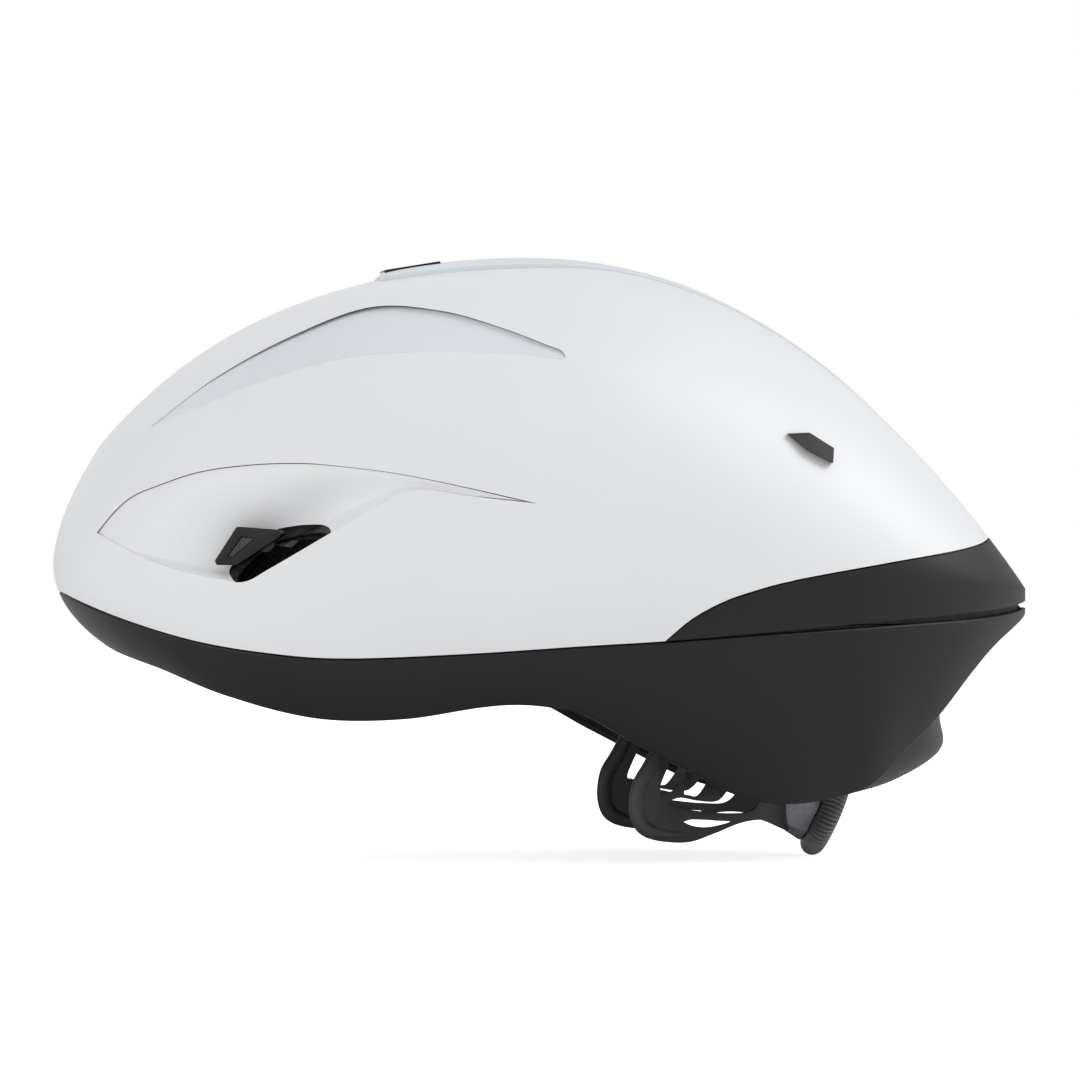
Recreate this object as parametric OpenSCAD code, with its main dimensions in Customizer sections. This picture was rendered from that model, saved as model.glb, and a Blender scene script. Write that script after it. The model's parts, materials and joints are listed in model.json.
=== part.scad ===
/* [Shell] */
// Width of the shell at its widest line
shell_w = 206; // [196:1:216]
// Height of the crown, measured from the lowest point of the dial
crown_h = 182; // [178:1:188]
// Length from the widest section forward to the nose
nose_l = 153.4; // [148:0.2:158]
// Length from the widest section back to the tail tip
tail_l = 145.7; // [141:0.1:151]
// Height of the foremost point of the nose
nose_h = 89.5; // [86:0.5:92]
// Height of the widest line on the flanks
flank_h = 86; // [83:0.5:89]
// Height of the tail tip
tail_h = 82; // [80:0.5:84]
// Wall of the outer shells
shell_wall = 1.6; // [1.2:0.1:2.2]
// Space between a shell and the foam behind it
shell_clear = 0.3; // [0.2:0.05:0.5]
// Width of the parting line between two shells
seam = 0.5; // [0.3:0.1:0.8]
// Opening of the groove under the tail panel at its rear end
tail_groove = 2.4; // [1:0.2:3.4]

/* [Head cavity] */
// Thickness of shell and foam beside the head
side_foam = 20.5; // [18:0.5:24]
// Thickness of shell and foam over the head
crown_foam = 28; // [24:1:32]
// Length of the head cavity
cavity_l = 206; // [196:1:210]
// Centre of the head cavity along the helmet
cavity_y = -19; // [-22:0.5:-17]
// Height where the dome of the cavity begins
cavity_h = 78; // [74:1:82]
// Height of the joint between the upper and the lower half of the foam
liner_split = 72; // [68:1:76]

/* [Side scoops] */
// Greatest depth of the side scoop
scoop_d = 9; // [6:0.5:10]
// Depth of the step along the front line of the scoop
scoop_step = 0.5; // [0.3:0.1:0.9]

/* [Crown] */
// Depth of the upper channels
channel_d = 2.6; // [1.6:0.1:3.2]
// Height that the crown cover stands over the shell
cover_h = 1.9; // [1.2:0.1:2.4]
// Half of the width of the crown cover
cover_w = 24; // [20:1:28]
// Width of one slot of the crown intake
intake_slot = 3.2; // [2.6:0.2:4]
// Number of slots in the crown intake
intake_n = 4; // [3:1:5]

/* [Eyewear docks] */
// Length of the front dock clip
dock_l = 20; // [18:0.5:21]
// Thickness of the front dock clip
dock_t = 3; // [2.4:0.1:4]
// Thickness of the triangular rubber pad in the dock
dock_pad_t = 1.1; // [0.8:0.1:1.5]
// Diameter of the magnet behind the dock
magnet_d = 6; // [4:0.5:7]
// Thickness of the magnet
magnet_t = 2; // [1.5:0.1:2.4]

/* [Exhaust] */
// Width of one exhaust port below the tail
port_w = 22; // [16:1:26]
// Height of one exhaust port
port_h = 11; // [8:0.5:13]
// Half of the distance between the two exhaust ports
port_x = 17; // [15:0.5:20]

/* [Harness] */
// Height of the temple pins
pin_h = 64; // [61:0.5:67]
// Place of the temple pins along the helmet
pin_y = -55; // [-60:0.5:-50]
// Diameter of a temple pin
pin_d = 4; // [3:0.25:5]
// Radial clearance between a pin and its bore
pin_clear = 0.05; // [0.02:0.01:0.09]
// Height of the belt of the headband
band_w = 12; // [10:0.5:14]
// Thickness of the belt
band_t = 1.4; // [1.2:0.1:1.8]
// Height of the straight end of the belt
band_h = 55; // [53:0.5:57]
// Radius of the cradle round the nape
cradle_r = 56; // [54:0.5:58]
// Wall of the cradle
cradle_t = 2.4; // [2:0.1:3]
// Space between the cradle and the wall of the cavity behind it
cradle_gap = 7.5; // [5:0.5:9]
// Depth of the bay in the foam behind the cradle
bay_d = 4; // [2:0.5:5]

/* [Dial] */
// Diameter of the adjusting dial over its ribs
dial_d = 27; // [24:0.5:28]
// Thickness of the dial
dial_t = 7; // [6:0.5:8]
// Number of grip ribs round the dial
dial_ribs = 72; // [48:4:80]
// Depth of the grooves between the ribs
rib_d = 0.6; // [0.4:0.05:0.8]
// Lean of the dial's axis below the level
dial_lean = 24; // [20:1:28]
// Diameter of the dial's axle
axle_d = 4; // [3:0.2:5]
// Diameter of the spool that winds the lace
spool_d = 9; // [8:0.2:10]
// Diameter of the lace
lace_d = 1; // [0.8:0.1:1.2]

/* [Straps] */
// Width of the chin strap webbing
strap_w = 14; // [12:0.5:16]
// Thickness of the webbing
strap_t = 1.3; // [1:0.1:1.6]
// Length of one half of the buckle
buckle_l = 26; // [22:0.5:30]

/* [Pads] */
// Thickness of the brow pad at its crown
brow_pad_t = 7; // [5:0.5:8]
// Thickness of the crown and side pads at their crowns
pad_t = 6; // [4:0.5:7]

/* [Hidden] */

shell_y = 4;
// Angles round the helmet at which its surface is sampled, closest where the nape curls in
side_turns = concat([for (a = [0 : 10 : 110]) a], [for (a = [116 : 4.5 : 152]) a], [161, 170.5]);
turns = concat(side_turns, [180], [for (i = [len(side_turns) - 1 : -1 : 1]) 360 - side_turns[i]]);
around_n = len(turns);
dome_n = 8;
flank_n = 4;
across_n = 10;
big = 400;
inner = shell_wall + shell_clear;
cavity_w = shell_w - 2 * side_foam;
cavity_top = crown_h - crown_foam;
cradle_y = cavity_y + cavity_l / 2 - cradle_gap - cradle_r;

// Lower edge of the shell, as angle from the nose, height, share of the width, share of the length,
// and how far the middle of the underside lies behind and above that edge
RIM = [[0, 66, .88, .893, 0, 0], [28, 59, .87, .9, 0, 0], [45, 50.5, .87, .91, 0, 0],
    [60, 44.3, .87, .93, 0, 0], [72, 44.3, .875, .95, 0, 0], [84, 48.5, .875, .98, 0, 0],
    [90, 46.3, .87, 1, 0, 0], [97, 37, .83, 1, 0, 0], [104, 28, .8, 1, 0, 0], [110, 21, .78, 1, 0, 0],
    [116, 18.2, .76, 1, 1, 0], [123, 19.5, .735, 1, 4, 0], [129, 23.5, .73, 1, 11.8, -.6],
    [135, 34, .74, 1, 16.6, -2.2], [141, 44, .77, 1, 6.5, -3.4], [148, 56.3, .81, 1, -14, -6],
    [155, 65, .83, 1, -15, -1], [163, 70.5, .86, 1, -7, 1.5], [172, 74, .93, 1, -2, 1],
    [180, 75.5, .985, 1, 0, 0]];

// Lines seen from the side, as points along the helmet and up
SPLIT = [[-156, 88], [-147.4, 81.3], [-131, 74], [-109.6, 67.4], [-88, 63.8], [-66, 62.3], [-30, 63.7],
    [5, 66], [29, 67.4], [56, 69.4], [100, 72.6], [137, 75.3], [156, 78.8]];
TAIL_LINE = [[29, 67.4], [36.8, 73.9], [46.1, 78.9], [55.4, 82.1], [69.5, 85.6], [98.6, 90.5],
    [124.8, 94.6], [137.2, 98], [146, 103]];
SCOOP_TOP = [[-137.4, 99.6], [-132.4, 105.9], [-127, 110.6], [-119.4, 113.9], [-107.9, 117.8],
    [-93.3, 119.9], [-78.7, 120.4], [-67, 119.5], [-49.5, 117.2], [-29, 113], [-9, 108.4]];
SCOOP_LOW = [[-137.4, 99.6], [-125.3, 92.8], [-112.3, 88.1], [-102.1, 85.8], [-94.8, 85.2],
    [-87, 89.4], [-69.7, 99.7], [-55.4, 108], [-45.1, 112.4], [-29, 110.6], [-9, 108.4]];
SCOOP_HOLE = [[-98.3, 89.6], [-98.6, 84.6], [-94.6, 84], [-87.6, 87.4], [-69.8, 98.4], [-70.3, 101.5],
    [-72, 102.1], [-78.4, 101.8], [-89.6, 97.6]];
CHANNEL_TOP = [[-121.1, 131.5], [-101.7, 146.2], [-79.4, 158.5], [-55.4, 167.5], [-34.6, 166.3],
    [-17.1, 161], [-4.1, 155.3], [1.2, 152]];
CHANNEL_LOW = [[-121.1, 131.5], [-106.8, 137.7], [-86.2, 146], [-65.5, 151.6], [-47.8, 153.3],
    [-33, 153.6], [-13.7, 152.9], [1.2, 152]];
DOCK = [[-103.3, 91.4], [-96.2, 101.5], [-82.9, 100.6], [-81.1, 99.2], [-96.2, 90.1], [-102.8, 90.1]];
DOCK_PAD = [[-99.1, 92.8], [-94.6, 98.6], [-90.2, 98.1], [-98, 92.1]];
LACE = [[72.8, 18.6], [66, 22], [57, 28], [48, 35], [38, 42], [28, 47.5], [20, 50]];
REAR_DOCK = [[67.7, 129.3], [74.5, 129.6], [82.1, 125], [81.4, 120.5], [73.4, 124.4]];

function mix(a, b, t) = a + (b - a) * t;
function clamp(t) = min(1, max(0, t));
function ease(t) = let (c = clamp(t)) c * c * (3 - 2 * c);
function flip(p) = [-p[0], p[1], p[2]];

// Outline drawn at the first crown height, raised or lowered with the crown
drawn_flank = 86;
drawn_crown = 182;
rise = (crown_h - flank_h) / (drawn_crown - drawn_flank);
function raised(p) = [p[0], flank_h + (p[1] - drawn_flank) * rise];
function raise(pts) = [for (p = pts) raised(p)];
scoop_top = raise(SCOOP_TOP);
scoop_low = raise(SCOOP_LOW);
scoop_hole = raise(SCOOP_HOLE);
channel_top = raise(CHANNEL_TOP);
channel_low = raise(CHANNEL_LOW);

// Smooth value between the rows of a table that is sorted by its first column
function row_slope(tab, i) = let (a = max(i - 1, 0), b = min(i + 1, len(tab) - 1))
    (tab[b] - tab[a]) / (tab[b][0] - tab[a][0]);
function row_at(tab, x) = let (
        last = len(tab) - 2,
        i = min(last, len([for (r = tab) if (r[0] <= x) 1]) - 1),
        h = tab[i + 1][0] - tab[i][0],
        t = (x - tab[i][0]) / h,
        t2 = t * t,
        t3 = t2 * t)
    (2 * t3 - 3 * t2 + 1) * tab[i] + (t3 - 2 * t2 + t) * h * row_slope(tab, i)
    + (3 * t2 - 2 * t3) * tab[i + 1] + (t3 - t2) * h * row_slope(tab, i + 1);

// Smooth line through points, with its ends at 0 and 1
function line_at(pts, t) = let (
        tab = [for (i = [0 : len(pts) - 1]) [i, pts[i][0], pts[i][1]]],
        r = row_at(tab, t * (len(pts) - 1)))
    [r[1], r[2]];
function smooth_line(pts, n) = [for (i = [0 : n]) line_at(pts, i / n)];

// Smooth closed outline through points, with k points for each one given
function loop_at(pts, t) = let (
        n = len(pts),
        i = floor(t),
        f = t - i,
        p = [for (k = [n - 1 : n + 2]) pts[(i + k) % n]])
    p[1] + f / 2 * (p[2] - p[0] + f * (2 * p[0] - 5 * p[1] + 4 * p[2] - p[3]
        + f * (3 * p[1] - p[0] - 3 * p[2] + p[3])));
function smooth_loop(pts, k) = [for (i = [0 : k * len(pts) - 1]) loop_at(pts, i / k)];

// Point of the dome at an angle from the nose and an angle above the widest line
function dome(phi, up, inset) = let (
        c = cos(up),
        s = sin(up),
        cp = cos(phi),
        sp = abs(sin(phi)),
        side = phi > 180 ? -1 : 1,
        top = crown_h - inset,
        x = (shell_w / 2 - inset) * pow(c, .9) * pow(sp, cp > 0 ? .88 : 1),
        y = cp > 0 ? -(nose_l - inset) * pow(c, .85) * pow(cp, .88) : -(tail_l - inset) * c * cp,
        z_end = cp > 0 ? nose_h + (top - nose_h) * pow(s, 1.2) : tail_h + (top - tail_h) * pow(s, 1.96),
        z_side = flank_h + (top - flank_h) * pow(s, .9))
    [side * x, shell_y + y, mix(z_side, z_end, cp * cp)];

function rim_row(phi) = row_at(RIM, phi > 180 ? 360 - phi : phi);
function rim(phi, inset, lift = 0) = let (e = dome(phi, 0, inset), r = rim_row(phi))
    [e[0] * r[2], shell_y + (e[1] - shell_y) * r[3], r[1] + lift];
function flank(phi, u, inset, lift = 0) = let (
        e = dome(phi, 0, inset),
        r = rim(phi, inset, lift),
        in = 1 - cos(90 * u),
        down = .35 * sin(90 * u) + .65 * u)
    [mix(e[0], r[0], in), mix(e[1], r[1], in), mix(e[2], r[2], down)];

// Point of the whole outer surface, with v from 0 at the crown over 1 at the widest line to 2 at the rim
function skin(phi, v, inset, lift = 0) =
    v <= 1 ? dome(phi, 90 * (1 - v), inset) : flank(phi, v - 1, inset, lift);

// Rows of points from just below the crown to the rim
function skin_rows(inset, lift = 0) = let (n = dome_n + flank_n)
    [for (j = [1 : n]) let (v = j <= dome_n ? pow(j / dome_n, .8) : 1 + (j - dome_n) / flank_n)
        [for (a = turns) skin(a, v, inset, lift)]];

function join(lists) = [for (l = lists) each l];
function quad(a, b, c, d) = [[a, b, c], [a, c, d]];

// Closed shell between two insets, open below
module skin_solid(out, in) {
    rows = concat(skin_rows(out), [for (r = [dome_n + flank_n - 1 : -1 : 0]) skin_rows(in)[r]]);
    k = len(rows);
    n = around_n;
    pts = concat(join(rows), [[0, shell_y, crown_h - out], [0, shell_y, crown_h - in]]);
    faces = concat(
        join([for (j = [0 : k - 2], i = [0 : n - 1])
            quad(j * n + i, j * n + (i + 1) % n, (j + 1) * n + (i + 1) % n, (j + 1) * n + i)]),
        [for (i = [0 : n - 1]) [k * n, (i + 1) % n, i]],
        [for (i = [0 : n - 1]) [k * n + 1, (k - 1) * n + i, (k - 1) * n + (i + 1) % n]]);
    polyhedron(pts, faces);
}

// Point of the underside, with k from 0 at the left edge to 1 at the right edge
function under(phi, k, inset, lift) = let (
        a = rim(phi, inset),
        b = flip(a),
        r = rim_row(phi),
        bow = 1 - pow(abs(2 * k - 1), 2.2),
        lean = ease((phi - 110) / 30))
    [mix(a[0], b[0], k), a[1] + r[4] * bow - lift * .7 * lean, a[2] + r[5] * bow + lift * (1 - .3 * lean)];

// Solid body inside the shell, closed by the underside
module body_solid(inset, lift) {
    n = around_n;
    half = n / 2;
    m = across_n;
    k = dome_n + flank_n;
    rows = skin_rows(inset, lift);
    wall = join([for (j = [0 : k - 2]) rows[j]]);
    edge = [for (a = turns) under(a > 180 ? 360 - a : a, a > 180 ? 1 : 0, inset, lift)];
    mid = [for (i = [1 : half - 1], j = [1 : m - 1]) under(turns[i], j / m, inset, lift)];
    base = k * n;
    function at(i, j) = j == 0 ? (k - 1) * n + i : j == m ? (k - 1) * n + (n - i) % n
        : i == 0 ? (k - 1) * n : i == half ? (k - 1) * n + half : base + (i - 1) * (m - 1) + j - 1;
    pts = concat(wall, edge, mid, [[0, shell_y, crown_h - inset]]);
    top = len(pts) - 1;
    faces = concat(
        join([for (j = [0 : k - 2], i = [0 : n - 1])
            quad(j * n + i, j * n + (i + 1) % n, (j + 1) * n + (i + 1) % n, (j + 1) * n + i)]),
        [for (i = [0 : n - 1]) [top, (i + 1) % n, i]],
        join([for (i = [1 : half - 2], j = [0 : m - 1])
            quad(at(i, j), at(i + 1, j), at(i + 1, j + 1), at(i, j + 1))]),
        [for (j = [0 : m - 1]) [at(0, 0), at(1, j), at(1, j + 1)]],
        [for (j = [0 : m - 1]) [at(half, 0), at(half - 1, j + 1), at(half - 1, j)]]);
    polyhedron(pts, faces);
}

// Prism across the whole width over an outline seen from the side
module across(pts, width = big, x = 0) {
    translate([x, 0, 0]) rotate([90, 0, 90]) linear_extrude(width, center = true) polygon(pts);
}

// Smooth closed outline between an upper and a lower line that share their ends
function outline(top, low, n) = concat(smooth_line(top, n),
    [for (i = [n - 1 : -1 : 1]) line_at(low, i / n)]);

// Angle from the nose of the dome point that lies at y on a ring
function ring_phi(y, up, inset) = let (c = cos(up)) y < shell_y
    ? acos(pow(clamp((shell_y - y) / ((nose_l - inset) * pow(c, .85))), 1 / .88))
    : 180 - acos(clamp((y - shell_y) / ((tail_l - inset) * c)));

// Height angle on the dome for a place seen from the side, or for a place seen from above
function up_of_z(y, z, inset, lo = 0, hi = 89.9, n = 16) = let (m = (lo + hi) / 2)
    n == 0 ? m : dome(ring_phi(y, m, inset), m, inset)[2] > z
        ? up_of_z(y, z, inset, lo, m, n - 1) : up_of_z(y, z, inset, m, hi, n - 1);
function up_of_x(x, y, inset, lo = 0, hi = 89.9, n = 16) = let (m = (lo + hi) / 2)
    n == 0 ? m : dome(ring_phi(y, m, inset), m, inset)[0] < x
        ? up_of_x(x, y, inset, lo, m, n - 1) : up_of_x(x, y, inset, m, hi, n - 1);
function on_side(p, inset) = let (up = up_of_z(p[0], p[1], inset))
    [dome(ring_phi(p[0], up, inset), up, inset)[0], p[0], p[1]];
function on_top(x, y, inset) = let (up = up_of_x(max(abs(x), .02), y, inset))
    [x, y, dome(ring_phi(y, up, inset), up, inset)[2]];

// Closed sheet between two grids of points, both given row by row
module sheet_solid(front, back) {
    rows = len(front);
    cols = len(front[0]);
    k = rows * cols;
    function ring(r, c) = r * cols + c;
    edge = concat([for (c = [0 : cols - 2]) [0, c]], [for (r = [0 : rows - 2]) [r, cols - 1]],
        [for (c = [cols - 1 : -1 : 1]) [rows - 1, c]], [for (r = [rows - 1 : -1 : 1]) [r, 0]]);
    ids = [for (e = edge) ring(e[0], e[1])];
    faces = concat(
        join([for (r = [0 : rows - 2], c = [0 : cols - 2])
            quad(ring(r, c), ring(r + 1, c), ring(r + 1, c + 1), ring(r, c + 1))]),
        join([for (r = [0 : rows - 2], c = [0 : cols - 2])
            quad(k + ring(r, c), k + ring(r, c + 1), k + ring(r + 1, c + 1), k + ring(r + 1, c))]),
        join([for (i = [0 : len(ids) - 1]) let (a = ids[i], b = ids[(i + 1) % len(ids)])
            quad(a, b, k + b, k + a)]));
    polyhedron(concat(join(front), join(back)), faces);
}

// Point across a strip between two side lines, kept a margin away from both
function strip_point(top, low, s, t, margin) = let (
        a = line_at(top, s),
        b = line_at(low, s),
        e = min(.4, margin / max(norm(a - b), .01)))
    mix(a, b, mix(e, 1 - e, t));

// Piece of the left flank between two side lines, with the inset of its outer and inner face given by
// functions of the place along and across it
module flank_patch(top, low, along, wide, margin, out, in, ends = .03) {
    function grid(f) = [for (i = [0 : along]) let (s = mix(ends, 1 - ends, i / along))
        [for (j = [0 : wide]) on_side(strip_point(top, low, s, j / wide, margin), f(s, j / wide))]];
    sheet_solid(grid(out), grid(in));
}

module mirrored() {
    children();
    mirror([1, 0, 0]) children();
}

// One clean mesh of free-form children
module fused() {
    resize([0, 0, 0]) children();
}

// Side view of all that lies below a line
function below(line) = concat(line, [[big / 2, -big], [-big / 2, -big]]);
split_line = smooth_line(SPLIT, 36);
tail_line = smooth_line(TAIL_LINE, 16);
tail_start = TAIL_LINE[0][0];
tail_end = SPLIT[len(SPLIT) - 1][0];
function groove(p) = seam / 2
    + (tail_groove - seam) / 2 * ease((p[0] - tail_start) / (tail_end - tail_start));
lower_edge = [for (p = split_line) [p[0], p[1] - groove(p)]];
panel_edge = [for (p = split_line) if (p[0] > tail_start) [p[0], p[1] + groove(p)]];

module white_zone() {
    pts = concat([for (p = split_line) if (p[0] < tail_start - 1) [p[0], p[1] + seam / 2]],
        [for (p = tail_line) [p[0] - seam / 2, p[1] + seam / 2]], [[big / 2, big / 2], [-big / 2, big / 2]]);
    across(pts);
}
module dark_zone() {
    across(below(lower_edge));
}
module panel_zone() {
    pts = concat(panel_edge, [[big / 2, panel_edge[len(panel_edge) - 1][1]], [big / 2, big / 2]],
        [for (i = [len(tail_line) - 1 : -1 : 0]) [tail_line[i][0] + seam / 2, tail_line[i][1] - seam / 2]]);
    across(pts);
}

// Depth of the scoop below the surface, along it and across it from its upper to its lower line
scoop_depth = function(s, t) scoop_step * (1 - ease((t - .9) * 10))
    + scoop_d * ease((s - .08) / .4) * (1 - .8 * ease((s - .6) / .2)) * (1 - ease((s - .8) / .18))
    * ease(t / .8) * (1 - ease((t - .8) / .2));
scoop_back = function(s, t) scoop_depth(s, t) + shell_wall;
bed_clear = shell_clear + .45;
scoop_bed = function(s, t) scoop_back(s, t) + bed_clear;
channel_depth = function(s, t) channel_d * ease(s / .35) * (1 - .3 * ease((s - .7) / .3)) * (1 - t) + .05;
channel_back = function(s, t) channel_depth(s, t) + shell_wall;
channel_bed = function(s, t) channel_back(s, t) + bed_clear;
above_skin = function(s, t) -2;

// Crown intake: a slotted insert let into the shell and the cover above it
intake_y = -40;
intake_w = 2 * intake_n * intake_slot;
intake_l = 17;
intake_t = 4.6;
intake_lean = atan2(on_top(0, intake_y + 5, 0)[2] - on_top(0, intake_y - 5, 0)[2], 10);
module at_intake() {
    translate(on_top(0, intake_y, -cover_h)) rotate([intake_lean, 0, 0]) children();
}
module intake_block(grow, t, h) {
    at_intake() translate([0, 0, -t / 2 + h])
        cube([intake_w + 2 * grow, intake_l + 2 * grow, t], center = true);
}

module upper_shell() {
    color("whitesmoke") fused() difference() {
        intersection() {
            skin_solid(0, shell_wall);
            white_zone();
        }
        across(outline(scoop_top, scoop_low, 20));
        across(outline(channel_top, channel_low, 18));
        intake_block(seam / 2, 12, 3);
    }
}

module lower_shell() {
    color([.17, .17, .18]) fused() intersection() {
        skin_solid(0, shell_wall);
        dark_zone();
    }
}

module tail_panel() {
    color([.2, .2, .21]) fused() intersection() {
        skin_solid(0, shell_wall);
        panel_zone();
    }
}

// Head cavity, grown by a margin
module head_room(grow = 0, low = 120) {
    translate([0, cavity_y, cavity_h]) {
        scale([cavity_w / 2 + grow, cavity_l / 2 + grow, cavity_top - cavity_h + grow]) sphere(1, $fn = 40);
        scale([cavity_w / 2 + grow, cavity_l / 2 + grow, 1])
            translate([0, 0, -low]) cylinder(low, 1, 1, $fn = 40);
    }
}

// Arch in the nape that leaves room for the dial, and bay behind the cradle for its tilt
notch_r = dial_d / 2 + 17.5;
notch_end = cradle_y + cradle_r + 27;
bay_top = cavity_h - 12;
module nape_notch() {
    translate([0, cradle_y, notch_r / 2]) rotate([-90, 0, 0])
        cylinder(notch_end - cradle_y, notch_r, notch_r, $fn = 32);
}
bay_r = cradle_r + cradle_gap + bay_d;
module cradle_bay() {
    translate([0, cradle_y, -1]) cylinder(bay_top + 1, bay_r, bay_r, $fn = 40);
}

// Exhaust ducts from the cavity to the ports under the tail
duct_fall = 32;
duct_l = 92;
duct_z = cavity_h + 18;
duct_in = 16;
module exhaust_ducts(grow = 0) {
    for (x = [-port_x, port_x])
        translate([x, cavity_y + cavity_l / 2 - duct_in, duct_z]) rotate([-duct_fall, 0, 0])
        translate([-port_w / 2 - grow, 0, -port_h / 2 - grow])
        cube([port_w + 2 * grow, duct_l, port_h + 2 * grow]);
}

// Sheet over the whole underside, with its lower and upper face at two lifts
module under_solid(inset, low, high) {
    n = around_n;
    half = n / 2;
    m = across_n;
    function layer(lift) = concat(
        [for (a = turns) under(a > 180 ? 360 - a : a, a > 180 ? 1 : 0, inset, lift)],
        [for (i = [1 : half - 1], j = [1 : m - 1]) under(turns[i], j / m, inset, lift)]);
    a = layer(low);
    k = len(a);
    function at(i, j) = j == 0 ? i : j == m ? (n - i) % n
        : i == 0 ? 0 : i == half ? half : n + (i - 1) * (m - 1) + j - 1;
    down = concat(
        join([for (i = [1 : half - 2], j = [0 : m - 1])
            quad(at(i, j), at(i + 1, j), at(i + 1, j + 1), at(i, j + 1))]),
        [for (j = [0 : m - 1]) [at(0, 0), at(1, j), at(1, j + 1)]],
        [for (j = [0 : m - 1]) [at(half, 0), at(half - 1, j + 1), at(half - 1, j)]]);
    upward = [for (f = down) [k + f[0], k + f[2], k + f[1]]];
    side = join([for (i = [0 : n - 1]) let (b = (i + 1) % n) quad(i, k + i, k + b, b)]);
    polyhedron(concat(a, layer(high)), concat(down, upward, side));
}

module base_cover() {
    color([.15, .15, .16]) fused() difference() {
        under_solid(inner, 0, shell_wall);
        head_room(0);
        nape_notch();
        cradle_bay();
        exhaust_ducts();
    }
}

// Long grooves in the ceiling of the cavity that lead the air to the exhaust ducts
groove_d = 8;
groove_w = 13;
groove_x = 34;
groove_l = 150;
groove_low = cavity_h + 26;
module air_grooves() {
    intersection() {
        head_room(groove_d, 1);
        union() for (x = [-groove_x, 0, groove_x])
            translate([x - groove_w / 2, cavity_y - .48 * groove_l, groove_low])
            cube([groove_w, groove_l, cavity_top]);
    }
}

// All foam between the shells and the head, before it is parted into its two halves
module foam_body() {
    difference() {
        body_solid(inner, inner);
        head_room(0);
        nape_notch();
        cradle_bay();
        exhaust_ducts(1);
        air_grooves();
        mirrored() {
            flank_patch(scoop_top, scoop_low, 12, 6, -1, above_skin, scoop_bed);
            flank_patch(channel_top, channel_low, 10, 3, -1, above_skin, channel_bed);
        }
        across(scoop_hole);
        intake_block(shell_clear, 60, 0);
        mirrored() {
            at_pin() translate([0, 0, -anchor_t - play])
                cylinder(2 * anchor_t, anchor_r + play, anchor_r + play, $fn = 24);
            for (q = [0, 1]) at_strap_anchor(q)
                cube([anchor_in + 2 * play, anchor_w + 2 * play, anchor_z + 2 * play], center = true);
        }
    }
}
module slab(low, high) {
    translate([-big / 2, -big / 2, low]) cube([big, big, high - low]);
}
module upper_liner() {
    color([.13, .13, .14]) fused() intersection() {
        foam_body();
        slab(liner_split + shell_clear, big);
    }
}
module lower_liner() {
    color([.13, .13, .14]) fused() intersection() {
        foam_body();
        slab(-big, liner_split);
    }
}

// Raised cover along the crown
COVER_HALF = [[-50, .62], [-44, .8], [-30, .93], [0, 1], [45, .92], [80, .6], [104, .12]];
module crown_cover() {
    cover_rise = function(y) mix(cover_h, .7, ease((y + 14) / 44));
    function place(i, j, inset) = let (
            y = mix(COVER_HALF[0][0], COVER_HALF[len(COVER_HALF) - 1][0], i / 14),
            half = cover_w * row_at(COVER_HALF, y)[1],
            q = j / 4 - 1,
            rise = cover_rise(y) * (1 - .45 * pow(abs(q), 6)))
        on_top(q * half, y, inset ? -rise : -.2);
    front = [for (i = [0 : 14]) [for (j = [0 : 8]) place(i, j, true)]];
    back = [for (i = [0 : 14]) [for (j = [0 : 8]) place(i, j, false)]];
    color([.93, .94, .97]) fused() difference() {
        sheet_solid(front, back);
        intake_block(seam / 2, 12, 3);
    }
}

module crown_intake() {
    color([.12, .12, .13]) difference() {
        intake_block(0, intake_t, .1);
        at_intake() for (i = [0 : intake_n - 1])
            translate([(2 * i - intake_n + .5) * intake_slot, -intake_l / 2 + 2, -intake_t])
            cube([intake_slot, intake_l - 4, 2 * intake_t]);
    }
}

module scoop_left() {
    color("whitesmoke") fused() difference() {
        flank_patch(scoop_top, scoop_low, 20, 8, seam, scoop_depth, scoop_back);
        across(scoop_hole);
    }
}
module scoop_right() {
    mirror([1, 0, 0]) scoop_left();
}

module channel_left() {
    color([.9, .92, .93])
        flank_patch(channel_top, channel_low, 18, 4, seam / 2, channel_depth, channel_back);
}
module channel_right() {
    mirror([1, 0, 0]) channel_left();
}

// Front eyewear dock: a flat clip over the scoop's opening, leaned with the flank
dock_mid = [-92, 95.5];
dock_at = raised(dock_mid);
dock_out = 4.95;
dock_arm = [7, 0];
dock_yaw = -atan2(on_side(dock_at + dock_arm, dock_out)[0] - on_side(dock_at - dock_arm, dock_out)[0],
    2 * dock_arm[0]);
pad_gap = .1;
magnet_at = [-87.2, 97];
module at_dock() {
    translate(on_side(dock_at, dock_out)) rotate([0, 0, dock_yaw])
        rotate([90, 0, 90]) translate([-dock_mid[0], -dock_mid[1], 0]) children();
}
dock_scale = dock_l / 20;
module dock_shape() {
    translate(dock_mid) scale(dock_scale) translate(-dock_mid)
        offset(.9, $fn = 24) offset(delta = -.9) polygon(DOCK);
}
module dock_left() {
    pocket_r = (magnet_d + pad_gap) / 2;
    color([.13, .13, .13]) at_dock() difference() {
        linear_extrude(dock_t) dock_shape();
        translate([0, 0, dock_t - dock_pad_t - pad_gap]) linear_extrude(dock_pad_t + 1) polygon(DOCK_PAD);
        translate([magnet_at[0], magnet_at[1], -1])
            cylinder(1 + magnet_t + pad_gap / 2, pocket_r, pocket_r, $fn = 36);
    }
}
module dock_right() {
    mirror([1, 0, 0]) dock_left();
}
module dock_pad_left() {
    color([.22, .22, .22]) at_dock() translate([0, 0, dock_t - dock_pad_t])
        linear_extrude(dock_pad_t - .3) offset(delta = -pad_gap) polygon(DOCK_PAD);
}
module dock_pad_right() {
    mirror([1, 0, 0]) dock_pad_left();
}
module dock_magnet_left() {
    color("silver") at_dock() translate([magnet_at[0], magnet_at[1], 0])
        cylinder(magnet_t, magnet_d / 2, magnet_d / 2, $fn = 36);
}
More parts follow.
